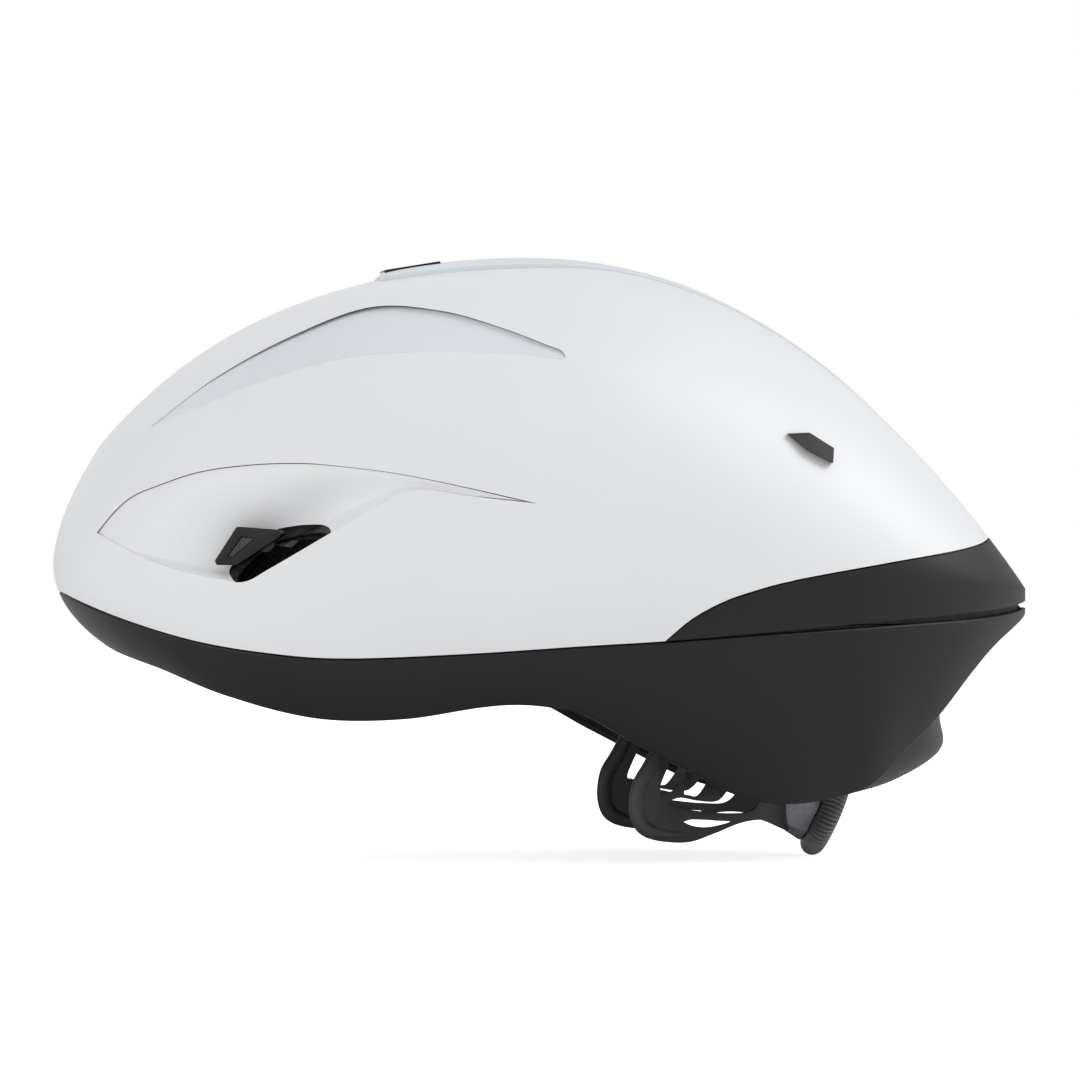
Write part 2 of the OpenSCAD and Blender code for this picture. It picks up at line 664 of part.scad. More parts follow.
module dock_magnet_right() {
    mirror([1, 0, 0]) dock_magnet_left();
}

rear_dock_h = 2.4;
module rear_dock_left() {
    ys = [66 : 4.2 : 83];
    color([.12, .12, .12]) fused() intersection() {
        flank_patch(raise([for (y = ys) [y, 132]]), raise([for (y = ys) [y, 118]]), 5, 4, 0,
            function(s, t) -rear_dock_h * (.55 + .45 * ease(s * 1.6)), function(s, t) -.2, 0);
        across(raise(REAR_DOCK));
    }
}
module rear_dock_right() {
    mirror([1, 0, 0]) rear_dock_left();
}

// Point on the wall of the cavity: angle from the front, height above the dome's start, distance inwards
function wall(a, w, gap) = let (
        r = cavity_top - cavity_h - gap,
        c = w > 0 ? sqrt(max(0, 1 - w * w / (r * r))) : 1)
    [(cavity_w / 2 - gap) * sin(a) * c, cavity_y - (cavity_l / 2 - gap) * cos(a) * c, cavity_h + w];
// Point on the ceiling of the cavity above a place seen from above
function ceiling(x, y, gap) = let (u = x / (cavity_w / 2 - gap), v = (y - cavity_y) / (cavity_l / 2 - gap))
    [x, y, cavity_h + (cavity_top - cavity_h - gap) * sqrt(1 - u * u - v * v)];

pad_back = .8;
pad_edge = 1.6;
function crowned(s, t, thick) = pad_back + pad_edge + (thick - pad_edge)
    * pow((1 - pow(abs(2 * s - 1), 3)) * (1 - pow(abs(2 * t - 1), 3)), .6);
module wall_pad(a0, a1, w0, w1, thick, along, wide) {
    inward = [for (i = [0 : along]) [for (j = [0 : wide])
        wall(mix(a0, a1, i / along), mix(w0, w1, j / wide), crowned(i / along, j / wide, thick))]];
    outward = [for (i = [0 : along]) [for (j = [0 : wide])
        wall(mix(a0, a1, i / along), mix(w0, w1, j / wide), pad_back)]];
    sheet_solid(inward, outward);
}
module ceiling_pad(x0, x1, y0, y1, thick, along, wide) {
    low = [for (i = [0 : along]) [for (j = [0 : wide])
        ceiling(mix(x0, x1, j / wide), mix(y0, y1, i / along), crowned(i / along, j / wide, thick))]];
    high = [for (i = [0 : along]) [for (j = [0 : wide])
        ceiling(mix(x0, x1, j / wide), mix(y0, y1, i / along), pad_back)]];
    sheet_solid(high, low);
}
module brow_pad() {
    color("dimgray") wall_pad(-60, 60, -9, 19, brow_pad_t, 16, 6);
}
module crown_pad() {
    land = groove_w / 2 + 2;
    front = cavity_y - .32 * cavity_l;
    rear = cavity_y + .28 * cavity_l;
    color("dimgray") mirrored() ceiling_pad(land, groove_x - land, front, rear, pad_t, 10, 4);
}
module side_pad_left() {
    color("dimgray") wall_pad(66, 88, 20, 46, pad_t, 6, 5);
}
module side_pad_right() {
    mirror([1, 0, 0]) side_pad_left();
}
module nape_pad_left() {
    color("dimgray") wall_pad(126, 152, -10, 18, pad_t, 6, 5);
}
module nape_pad_right() {
    mirror([1, 0, 0]) nape_pad_left();
}

// Temple anchor: a flange set in the liner, with a pin that carries the eyelet of the headband
anchor_r = 6;
anchor_t = 6;
head_r = pin_d / 2 + 1.6;
head_t = 1.1;
eyelet_t = band_t + .2;
eyelet_r = band_w / 2 + 1;
play = .3;
pin_x = cavity_w / 2 * sqrt(1 - pow((pin_y - eyelet_r - cavity_y) / (cavity_l / 2), 2)) - 2 * play;
module at_pin() {
    translate([pin_x, pin_y, pin_h]) rotate([0, -90, 0]) children();
}
module temple_anchor_left() {
    color([.2, .2, .2]) at_pin() {
        translate([0, 0, -anchor_t]) cylinder(anchor_t, anchor_r, anchor_r, $fn = 36);
        cylinder(eyelet_t + 2 * play + head_t, pin_d / 2, pin_d / 2, $fn = 36);
        translate([0, 0, eyelet_t + 2 * play]) cylinder(head_t, head_r, head_r, $fn = 36);
    }
}
module temple_anchor_right() {
    mirror([1, 0, 0]) temple_anchor_left();
}

// Ribbon along a path, with its width upright and its thickness across the path
module ribbon(path, width, thick) {
    n = len(path) - 1;
    function way(i) = let (a = path[max(i - 1, 0)], b = path[min(i + 1, n)]) (b - a) / norm(b - a);
    function side(i) = let (d = way(i)) [d[1], -d[0], 0] / norm([d[0], d[1]]);
    function upr(i) = let (s = side(i), d = way(i)) cross(s, d);
    corner = [[1, -1], [1, 1], [-1, 1], [-1, -1]];
    pts = join([for (i = [0 : n]) [for (c = corner)
        path[i] + side(i) * c[0] * thick / 2 + upr(i) * c[1] * width / 2]]);
    faces = concat([[0, 2, 1], [0, 3, 2]],
        join([for (i = [0 : n - 1], c = [0 : 3]) let (d = (c + 1) % 4)
            quad(4 * i + c, 4 * i + d, 4 * i + 4 + d, 4 * i + 4 + c)]),
        [[4 * n + 2, 4 * n, 4 * n + 1], [4 * n + 3, 4 * n, 4 * n + 2]]);
    polyhedron(pts, faces);
}

// Side belt of the headband: an eyelet on the temple pin, a curved run and a straight end
// The curved run is given as shares of the way in and down, and as lengths along the helmet.
keeper_l = 9;
keeper_wall = 2;
keeper_y = cradle_y + 9;
belt_x = cradle_r + 4.6;
eyelet_x = pin_x - play - eyelet_t / 2;
BELT = [[0, 0, 0], [0, 4.6, .03], [.1, 11, .135], [.33, 21, .39], [.62, 31, .68], [.9, 40, .92], [1, 47, 1]];
belt_start = [eyelet_x, pin_y, pin_h];
belt_path = concat([for (p = BELT) belt_start + [p[0] * (belt_x - eyelet_x), p[1], p[2] * (band_h - pin_h)]],
    [for (y = [-26, -6, 12]) [belt_x, keeper_y + y, band_h]]);
module headband_left() {
    color([.16, .16, .17]) difference() {
        union() {
            translate(belt_start) rotate([0, -90, 0])
                cylinder(eyelet_t, eyelet_r, eyelet_r, center = true, $fn = 40);
            ribbon(belt_path, band_w, band_t);
        }
        translate(belt_start) rotate([0, -90, 0])
            cylinder(3 * eyelet_t, pin_d / 2 + pin_clear, pin_d / 2 + pin_clear, center = true, $fn = 40);
    }
}
module headband_right() {
    mirror([1, 0, 0]) headband_left();
}

// Cradle: two wings with windows, joined round the nape, cut from one upright curved sheet.
// Its outlines are drawn for a curve whose centre stands at 20.5 along the helmet.
drawn_y = 20.5;
WING = [[29.5, 62], [30.5, 48], [30.4, 38], [27.2, 30.8], [23.6, 24.5], [22.5, 17], [23.9, 11], [27.5, 7.8],
    [33, 6.4], [41, 6.2], [49, 8.6], [58, 11.6], [66, 12], [72, 9.5], [80, 8], [83, 26], [78, 44],
    [68, 54], [54, 61], [41, 64.5], [32, 65]];
WINDOW_A = [[33.1, 21.8], [35, 20.6], [37.4, 21.4], [41.6, 27.4], [45, 34.5], [44.6, 41], [41.4, 40.5],
    [36.6, 30.5]];
WINDOW_B = [[40, 20], [42, 18.6], [44.4, 19.2], [48.4, 25], [53, 34], [54.6, 43.6], [50.6, 44.6], [47.4, 36],
    [43.6, 26.6]];
WINDOW_C = [[39.4, 17], [47, 15.6], [54, 16.2], [60.4, 19.6], [64, 30], [64.2, 41], [60.4, 42.6], [57, 32],
    [51.6, 20.6], [45, 17.8]];
WINDOW_D = [[38.4, 11], [41.4, 9.6], [46.4, 9.8], [51.6, 11.6], [46, 12]];
cradle_in = cradle_r - cradle_t;
cradle_mid = cradle_r - cradle_t / 2;
module cradle_side() {
    intersection() {
        difference() {
            translate([0, cradle_y, 0]) cylinder(big, cradle_r, cradle_r, $fn = 96);
            translate([0, cradle_y, -1]) cylinder(big + 2, cradle_in, cradle_in, $fn = 96);
        }
        translate([0, cradle_y - drawn_y, 0]) rotate([90, 0, 90])
            linear_extrude(big, center = true) difference() {
            polygon(smooth_loop(WING, 3));
            for (hole = [WINDOW_A, WINDOW_B, WINDOW_C, WINDOW_D]) polygon(smooth_loop(hole, 3));
        }
    }
}
module keeper() {
    root = cradle_r - 6;
    reach = belt_x + band_t / 2 + play + keeper_wall - root;
    hi = band_w + 2 * play;
    difference() {
        translate([root, keeper_y, band_h - hi / 2 - keeper_wall])
            cube([reach, keeper_l, hi + 2 * keeper_wall]);
        translate([belt_x - band_t / 2 - play, keeper_y - 1, band_h - hi / 2])
            cube([band_t + 2 * play, keeper_l + 2, hi]);
        translate([0, cradle_y, 0]) cylinder(big, cradle_mid, cradle_mid, $fn = 96);
    }
}
module cradle() {
    color([.2, .2, .2]) union() {
        cradle_side();
        mirrored() keeper();
    }
}

// Dial: its middle stands so high that the grip touches the ground plane
dial_y = cradle_y + cradle_r + 11.7;
dial_z = (dial_d / 2 - dial_t / 2) * cos(dial_lean) + dial_t / 2;
face_gap = .4;
core_r = dial_d / 2 - dial_t / 2 - .6;
back = -dial_t / 2 - face_gap;
spool_l = 5;
pocket_gap = .3;
spool_room = spool_l + pocket_gap;
axle_seat = 2.2;
press = .02;
cap_t = 1.3;
head_h = 1.2;
axle_head_r = axle_d / 2 + 1.5;
bore_r = axle_d / 2 + pin_clear;
module at_dial() {
    translate([0, dial_y, dial_z]) rotate([-90 - dial_lean, 0, 0]) children();
}

// The lace leaves the spool through the side of the housing
spool_back = back - spool_l / 2;
spool_mid = [0, dial_y + spool_back * cos(dial_lean), dial_z - spool_back * sin(dial_lean)];
lace_r = cradle_r + lace_d / 2 + .25;
function lace_at(p) = [lace_r * cos(p[0]), cradle_y + lace_r * sin(p[0]), p[1]];
lace_way = lace_at(LACE[0]) - spool_mid;
foot_w = 34;
foot_h = 17;
foot_l = 13.5;
module dial_housing() {
    color([.24, .24, .24]) difference() {
        at_dial() hull() {
            translate([0, 0, back - 1]) cylinder(1, dial_d / 2 - 3, dial_d / 2 - 3, $fn = 8);
            translate([-foot_w / 2, -foot_h / 2 - .5, back - foot_l]) cube([foot_w, foot_h, 1]);
        }
        translate([0, cradle_y, -big / 2]) cylinder(big, cradle_r + press, cradle_r + press, $fn = 96);
        at_dial() {
            translate([0, 0, back - spool_room])
                cylinder(spool_room + 1, spool_d / 2 + pocket_gap, spool_d / 2 + pocket_gap, $fn = 40);
            translate([0, 0, back - spool_room - axle_seat])
                cylinder(spool_room, axle_d / 2 + press, axle_d / 2 + press, $fn = 36);
        }
        mirrored() translate(spool_mid)
            rotate([0, 90 - asin(lace_way[2] / norm(lace_way)), atan2(lace_way[1], lace_way[0])])
            cylinder(foot_w, lace_d / 2 + pocket_gap, lace_d / 2 + pocket_gap, $fn = 16);
    }
}
module dial_axle() {
    foot = back - spool_room - axle_seat;
    head = dial_t / 2 - 1 - head_h;
    color("silver") at_dial() union() {
        translate([0, 0, foot]) cylinder(head - foot, axle_d / 2, axle_d / 2, $fn = 36);
        translate([0, 0, head]) cylinder(head_h, axle_head_r, axle_head_r, $fn = 36);
    }
}
module dial_knob() {
    color([.1, .1, .1]) at_dial() difference() {
        translate([0, 0, -dial_t / 2]) cylinder(dial_t, core_r, core_r, $fn = 60);
        translate([0, 0, -dial_t]) cylinder(2 * dial_t, bore_r, bore_r, $fn = 36);
        translate([0, 0, dial_t / 2 - 2.4]) cylinder(3, axle_head_r + .5, axle_head_r + .5, $fn = 36);
    }
}
module dial_grip() {
    n = 2 * dial_ribs;
    rim_r = dial_t / 2;
    in_r = core_r + .05;
    turns = [-90, -55, -dial_lean, dial_lean, 55, 90];
    sec = concat([[in_r, -rim_r]], [for (a = turns) [dial_d / 2 - rim_r + rim_r * cos(a), rim_r * sin(a)]],
        [[in_r, rim_r]]);
    m = len(sec);
    function dent(i, j) = i % 2 == 1 && j > 1 && j < m - 2 ? rib_d : 0;
    pts = join([for (i = [0 : n - 1]) let (a = i * 360 / n)
        [for (j = [0 : m - 1]) let (r = sec[j][0] - dent(i, j)) [r * cos(a), r * sin(a), sec[j][1]]]]);
    faces = join([for (i = [0 : n - 1], j = [0 : m - 1]) let (b = (i + 1) % n, c = (j + 1) % m)
        quad(i * m + j, i * m + c, b * m + c, b * m + j)]);
    color([.08, .08, .08]) at_dial() polyhedron(pts, faces);
}
module dial_cap() {
    color([.14, .14, .14]) at_dial() translate([0, 0, dial_t / 2 - .9])
        cylinder(cap_t, axle_head_r + .4, axle_head_r + .4, $fn = 36);
}
module spool() {
    flange = .8;
    drum_r = spool_d / 2 - 2 * flange;
    color([.3, .3, .3]) at_dial() difference() {
        union() {
            for (z = [back - spool_l, back - flange]) translate([0, 0, z])
                cylinder(flange, spool_d / 2, spool_d / 2, $fn = 36);
            translate([0, 0, back - spool_l]) cylinder(spool_l + face_gap, drum_r, drum_r, $fn = 36);
        }
        translate([0, 0, back - 2 * spool_l]) cylinder(3 * spool_l, bore_r, bore_r, $fn = 36);
    }
}

// Tube along a route, with its ring of sides square to the route
module tube(path, d, sides) {
    n = len(path) - 1;
    function way(i) = let (a = path[max(i - 1, 0)], b = path[min(i + 1, n)]) (b - a) / norm(b - a);
    function side(i) = let (u = cross(way(i), [0, 0, 1])) u / norm(u);
    pts = join([for (i = [0 : n]) let (u = side(i), v = cross(u, way(i)))
        [for (k = [0 : sides - 1]) let (a = k * 360 / sides) path[i] + d / 2 * (u * cos(a) + v * sin(a))]]);
    faces = concat([for (k = [1 : sides - 2]) [0, k + 1, k]],
        join([for (i = [0 : n - 1], k = [0 : sides - 1]) let (b = (k + 1) % sides)
            quad(i * sides + k, i * sides + b, (i + 1) * sides + b, (i + 1) * sides + k)]),
        [for (k = [1 : sides - 2]) [n * sides, n * sides + k, n * sides + k + 1]]);
    polyhedron(pts, faces);
}
// Lace from the spool out of the housing and round the outside of each wing to its keeper
module lace() {
    first = spool_mid + lace_way * (spool_d / 2 + 2 * pocket_gap) / norm(lace_way);
    color("dimgray") mirrored() tube(concat([first], [for (p = LACE) lace_at(p)]), lace_d, 8);
}

// Side-release buckle, closed, behind the head: its two halves meet at the split
buckle_w = strap_w + 4;
buckle_t = 6;
buckle_wall = 1.2;
buckle_up = 32;
female_l = .8 * buckle_l;
male_l = .6 * buckle_l;
buckle_half = (female_l + male_l + play) / 2;
buckle_split = female_l - buckle_half;
prong_l = buckle_l / 2 - 3;
prong_w = 3.6;
dome_share = sqrt(1 - pow((buckle_up + strap_w / 2) / (cavity_top - cavity_h), 2));
strap_end = 180 - asin((buckle_half + play) / (cavity_w / 2 * dome_share));
buckle_lean = atan2(wall(180, buckle_up - 5, 0)[1] - wall(180, buckle_up + 5, 0)[1], 10);
buckle_gap = wall(180, buckle_up, 0)[1] - wall(strap_end, buckle_up, 0)[1] + 1;
module at_buckle() {
    translate(wall(180, buckle_up, 0)) rotate([90 + buckle_lean, 0, 0])
        translate([0, 0, buckle_gap + buckle_t / 2]) children();
}

// Chin straps, folded up along the wall of the cavity and buckled behind the head.
// Their routes are angles from the front and heights above the start of the dome.
strap_gap = .8;
FRONT_LEG = [[75, -18], [79.5, -14.5], [83.5, -11], [87.5, -7.5]];
REAR_LEG = [[114, -18], [109, -14.5], [105, -11], [101, -7.5]];
CHIN_RUN = [[94, 13.5], [96, 19], [104, 25], [118, 30], [134, buckle_up], [150, buckle_up],
    [strap_end, buckle_up]];

// Point beside a route on the wall, at a distance across the route and a distance inwards
function beside(list, i, off, gap) = let (
        p = list[i],
        a = list[max(i - 1, 0)],
        b = list[min(i + 1, len(list) - 1)],
        per = norm(wall(p[0] + 1, p[1], 0) - wall(p[0], p[1], 0)),
        d = [(b[0] - a[0]) * per, b[1] - a[1]] / norm([(b[0] - a[0]) * per, b[1] - a[1]]))
    wall(p[0] - d[1] * off / per, p[1] + d[0] * off, gap);
module webbing(list) {
    function layer(gap) = [for (i = [0 : len(list) - 1])
        [for (j = [-1 : 1]) beside(list, i, j * strap_w / 2, gap)]];
    sheet_solid(layer(strap_gap + strap_t), layer(strap_gap));
}
module strap_left() {
    color([.2, .2, .22]) {
        webbing(FRONT_LEG);
        webbing(REAR_LEG);
        webbing(CHIN_RUN);
    }
}
module strap_right() {
    mirror([1, 0, 0]) strap_left();
}

// Divider that gathers the two legs of a strap: a plate with a slot for each
divider_a = 94.3;
divider_w = 2 * strap_w + 6;
divider_h = 10;
divider_t = 2.6;
slot_t = strap_t + .6;
module strap_divider_left() {
    c = wall(divider_a, 3.4, strap_gap + divider_t / 2 + 2.4);
    color([.1, .1, .1]) translate(c) rotate([0, 0, divider_a - 90]) difference() {
        cube([divider_t, divider_w, divider_h], center = true);
        for (y = [-1, 1]) translate([0, y * (strap_w / 2 + 1.2), -divider_h / 4])
            cube([2 * divider_t, strap_w, slot_t], center = true);
        translate([0, 0, divider_h / 4]) cube([2 * divider_t, strap_w, slot_t], center = true);
    }
}
module strap_divider_right() {
    mirror([1, 0, 0]) strap_divider_left();
}

module rounded_plate(x0, x1, w, t) {
    translate([0, 0, -t / 2]) linear_extrude(t) translate([x0, -w / 2])
        offset(2, $fn = 24) offset(delta = -2) square([x1 - x0, w]);
}
module buckle_female() {
    pocket = buckle_t - 2 * buckle_wall;
    color([.1, .1, .1]) at_buckle() difference() {
        rounded_plate(-buckle_half, buckle_split, buckle_w, buckle_t);
        translate([buckle_split - prong_l - 1.5, -buckle_w / 2 + buckle_wall, -pocket / 2])
            cube([prong_l + 3, buckle_w - 2 * buckle_wall, pocket]);
        for (y = [-1, 1])
            translate([buckle_split - prong_l + 1, y * buckle_w / 2 - buckle_wall * 2, -pocket / 2])
            cube([prong_l - 5, buckle_wall * 4, pocket]);
        translate([-buckle_half + 2, -strap_w / 2, -buckle_t]) cube([slot_t, strap_w, 2 * buckle_t]);
    }
}
module buckle_male() {
    pocket = buckle_t - 2 * buckle_wall;
    color([.1, .1, .1]) at_buckle() difference() {
        union() {
            rounded_plate(buckle_split + play, buckle_half, buckle_w, buckle_t);
            for (y = [-1, 0, 1]) translate([buckle_split - prong_l, y * (strap_w - prong_w) / 2, 0])
                translate([0, -prong_w / 2, -pocket / 2 + play])
                cube([prong_l + 2 + play, prong_w, pocket - 2 * play]);
        }
        translate([buckle_half - 2 - slot_t, -strap_w / 2, -buckle_t])
            cube([slot_t, strap_w, 2 * buckle_t]);
    }
}

// Strap anchors set in the liner below the feet of the straps, each with a slot for its loop
anchor_w = strap_w + 4;
anchor_in = 5;
anchor_z = 6;
module at_strap_anchor(q) {
    p = q == 0 ? FRONT_LEG[0] : REAR_LEG[0];
    translate(wall(p[0], p[1] - 4 - anchor_z / 2, -anchor_in / 2 + .4)) rotate([0, 0, p[0] - 90]) children();
}
module strap_anchors() {
    color([.12, .12, .12]) mirrored() for (q = [0, 1]) at_strap_anchor(q) difference() {
        cube([anchor_in, anchor_w, anchor_z], center = true);
        translate([-anchor_in / 2, 0, 0]) cube([anchor_in, strap_w, slot_t], center = true);
    }
}

upper_shell();
lower_shell();
tail_panel();
base_cover();
upper_liner();
lower_liner();
crown_cover();
crown_intake();
scoop_left();
scoop_right();
channel_left();
channel_right();
dock_left();
dock_right();
dock_pad_left();
dock_pad_right();
dock_magnet_left();
dock_magnet_right();
rear_dock_left();
rear_dock_right();
brow_pad();
crown_pad();
side_pad_left();
side_pad_right();
nape_pad_left();
nape_pad_right();
temple_anchor_left();
temple_anchor_right();
headband_left();
headband_right();
cradle();
dial_housing();
dial_axle();
dial_knob();
dial_grip();
dial_cap();
spool();
lace();
strap_left();
strap_right();
strap_divider_left();
strap_divider_right();
buckle_male();
buckle_female();
strap_anchors();
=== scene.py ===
# %% [markdown]
# # An aero road helmet
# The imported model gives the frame: every piece of the real helmet at its true size, in metres, with
# -Y to the front, +X to the wearer's left and +Z up. This script dresses it. The outer shells are
# modelled again as fine surfaces from the same formula as the part's source, because paint shows every facet.

# %% Load the frame
import json
import math

import bpy
import numpy as np
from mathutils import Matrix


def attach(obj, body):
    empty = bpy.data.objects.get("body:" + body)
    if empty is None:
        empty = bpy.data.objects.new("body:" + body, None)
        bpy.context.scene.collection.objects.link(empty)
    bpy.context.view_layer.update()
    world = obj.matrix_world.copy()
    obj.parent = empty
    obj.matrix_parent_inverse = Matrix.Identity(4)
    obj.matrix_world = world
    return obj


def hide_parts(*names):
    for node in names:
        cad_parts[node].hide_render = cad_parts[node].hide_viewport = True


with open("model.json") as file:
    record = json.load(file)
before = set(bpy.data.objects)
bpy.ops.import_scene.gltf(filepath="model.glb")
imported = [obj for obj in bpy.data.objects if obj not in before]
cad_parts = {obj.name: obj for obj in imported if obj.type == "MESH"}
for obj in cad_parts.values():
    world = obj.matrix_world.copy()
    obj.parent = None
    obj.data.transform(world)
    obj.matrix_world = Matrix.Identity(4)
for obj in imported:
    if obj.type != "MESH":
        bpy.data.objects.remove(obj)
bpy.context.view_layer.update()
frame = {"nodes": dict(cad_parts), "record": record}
NODES = frame["nodes"]
print("nodes in the frame:", len(NODES))

# %% [markdown]
# ## Small helpers
# Sizes are written in millimetres, as on a drawing, and turned to metres where a mesh is made.
# Operators act on all that is selected, so each step first selects only its own piece.

# %% Helpers for pieces
MM = 0.001


def only(*pieces):
    """Select these pieces alone, with the first one active."""
    bpy.ops.object.select_all(action="DESELECT")
    for piece in pieces:
        piece.select_set(True)
    bpy.context.view_layer.objects.active = pieces[0]


def named(name):
    """Name the piece that was just added."""
    piece = bpy.context.object
    piece.name = name
    piece.data.name = name
    return piece


def in_edit(piece, *steps):
    """Run edit operators on a whole piece: each step is an operator and its settings."""
    only(piece)
    bpy.ops.object.mode_set(mode="EDIT")
    bpy.ops.mesh.select_mode(type="VERT")
    for operator, settings in steps:
        bpy.ops.mesh.select_all(action="SELECT")
        operator(**settings)
    bpy.ops.object.mode_set(mode="OBJECT")


def modified(piece, kind, **settings):
    """Add a modifier with its settings and apply it."""
    only(piece)
    step = piece.modifiers.new(kind.title(), kind)
    for key, value in settings.items():
        setattr(step, key, value)
    bpy.ops.object.modifier_apply(modifier=step.name)
    return piece


def co_of(piece):
    """The points of a mesh in millimetres, one row each."""
    co = np.empty(len(piece.data.vertices) * 3)
    piece.data.vertices.foreach_get("co", co)
    return co.reshape(-1, 3) / MM


def put_co(piece, points):
    """Lay the points of a mesh on these places, given in millimetres."""
    piece.data.vertices.foreach_set("co", (np.asarray(points) * MM).ravel())
    piece.data.update()


def smooth(piece, angle=35):
    """Smooth shading that keeps the edges sharper than an angle."""
    only(piece)
    bpy.ops.object.shade_smooth_by_angle(angle=math.radians(angle))
    return piece


def laid_grid(name, rows):
    """A sheet: a grid primitive whose points are laid on rows of places in millimetres."""
    count, across = rows.shape[:2]
    bpy.ops.object.select_all(action="DESELECT")
    bpy.ops.mesh.primitive_grid_add(x_subdivisions=across - 1, y_subdivisions=count - 1, size=1)
    piece = named(name)
    put_co(piece, rows.reshape(-1, 3))
    return piece


def merged(piece, distance=0.02):
    """Merge points that lie together, such as those at a pole or on a seam."""
    in_edit(piece, (bpy.ops.mesh.remove_doubles, {"threshold": distance * MM}))
    return piece


def facing(piece, centre):
    """Turn an open sheet so that its faces point away from a centre in millimetres."""
    area = np.empty(len(piece.data.polygons))
    normal = np.empty(len(area) * 3)
    middle = np.empty(len(area) * 3)
    piece.data.polygons.foreach_get("area", area)
    piece.data.polygons.foreach_get("normal", normal)
    piece.data.polygons.foreach_get("center", middle)
    out = (normal.reshape(-1, 3) * (middle.reshape(-1, 3) - np.array(centre) * MM)).sum(axis=1)
    if (out * area).sum() < 0:
        in_edit(piece, (bpy.ops.mesh.flip_normals, {}))
    return piece


# %% [markdown]
# ## The skin of the helmet
# One formula gives any point of the outer surface from two angles: `phi` runs round the helmet from the
# nose, and `v` runs from the crown (0) over the widest line (1) to the lower rim (2). All shells share it,
# so their surfaces meet exactly, as parts that come from one master surface do.

# %% The skin
WIDTH, CROWN, NOSE, TAIL = 206, 182, 153.4, 145.7
NOSE_Z, FLANK_Z, TAIL_Z, MIDDLE_Y = 89.5, 86, 82, 4
WALL, CLEAR, SEAM, GROOVE = 1.6, 0.3, 0.5, 2.4
INNER = WALL + CLEAR
RIM = np.array([
    [0, 66, .88, .893, 0, 0], [28, 59, .87, .9, 0, 0], [45, 50.5, .87, .91, 0, 0], [60, 44.3, .87, .93, 0, 0],
    [72, 44.3, .875, .95, 0, 0], [84, 48.5, .875, .98, 0, 0], [90, 46.3, .87, 1, 0, 0], [97, 37, .83, 1, 0, 0],
    [104, 28, .8, 1, 0, 0], [110, 21, .78, 1, 0, 0], [116, 18.2, .76, 1, 1, 0], [123, 19.5, .735, 1, 4, 0],
    [129, 23.5, .73, 1, 11.8, -.6], [135, 34, .74, 1, 16.6, -2.2], [141, 44, .77, 1, 6.5, -3.4],
    [148, 56.3, .81, 1, -14, -6],
    [155, 65, .83, 1, -15, -1], [163, 70.5, .86, 1, -7, 1.5], [172, 74, .93, 1, -2, 1], [180, 75.5, .985, 1, 0, 0]])


def cosd(a):
    return np.cos(np.radians(a))


def sind(a):
    return np.sin(np.radians(a))


def ease(t):
    c = np.clip(t, 0, 1)
    return c * c * (3 - 2 * c)


def row_at(table, x):
    """Smooth value between the rows of a table that is sorted by its first column."""
    x = np.asarray(x, float)
    i = np.clip(np.searchsorted(table[:, 0], x, side="right") - 1, 0, len(table) - 2)
    slope = np.array([(table[min(k + 1, len(table) - 1)] - table[max(k - 1, 0)])
                      / (table[min(k + 1, len(table) - 1), 0] - table[max(k - 1, 0), 0])
                      for k in range(len(table))])
    h = (table[i + 1, 0] - table[i, 0])[..., None]
    t = (x - table[i, 0])[..., None] / h
    return ((2 * t**3 - 3 * t**2 + 1) * table[i] + (t**3 - 2 * t**2 + t) * h * slope[i]
            + (3 * t**2 - 2 * t**3) * table[i + 1] + (t**3 - t**2) * h * slope[i + 1])


def dome(phi, up, inset=0.0):
    """Points of the dome at angles from the nose and angles above the widest line."""
    phi, up, inset = np.broadcast_arrays(np.asarray(phi, float), np.asarray(up, float), np.asarray(inset, float))
    c, s = np.maximum(cosd(up), 0), sind(up)
    cp, sp = cosd(phi), np.abs(sind(phi))
    front = cp > 0
    top = CROWN - inset
    x = (WIDTH / 2 - inset) * c**.9 * np.where(front, sp**.88, sp)
    y = np.where(front, -(NOSE - inset) * c**.85 * np.abs(cp)**.88, -(TAIL - inset) * c * cp)
    z_end = np.where(front, NOSE_Z + (top - NOSE_Z) * s**1.2, TAIL_Z + (top - TAIL_Z) * s**1.96)
    z_side = FLANK_Z + (top - FLANK_Z) * s**.9
    return np.stack([np.where(phi > 180, -x, x), MIDDLE_Y + y, z_side + (z_end - z_side) * cp * cp], axis=-1)


def rim(phi, inset=0.0, lift=0.0):
    edge = dome(phi, 0, inset)
    row = row_at(RIM, np.where(np.asarray(phi) > 180, 360 - np.asarray(phi), phi))
    return np.stack([edge[..., 0] * row[..., 2], MIDDLE_Y + (edge[..., 1] - MIDDLE_Y) * row[..., 3],
                     row[..., 1] + lift], axis=-1)


def skin(phi, v, inset=0.0, lift=0.0):
    """Points of the whole outer surface, from the crown at v = 0 to the rim at v = 2."""
    phi, v = np.asarray(phi, float), np.asarray(v, float)
    u = np.clip(v - 1, 0, 1) + 0 * phi
    top = dome(phi, 90 * np.clip(1 - v, 0, 1), inset)
    low = rim(phi, inset, lift)
    inwards = 1 - cosd(90 * u)
    down = .35 * sind(90 * u) + .65 * u
    share = np.stack([inwards, inwards, down], axis=-1)
    return top + (low - top) * share


def smooth_line(points, count):
    """A smooth line through points, as count places."""
    points = np.array(points, float)
    table = np.column_stack([np.arange(len(points)), points])
    return row_at(table, np.linspace(0, len(points) - 1, count))[:, 1:]


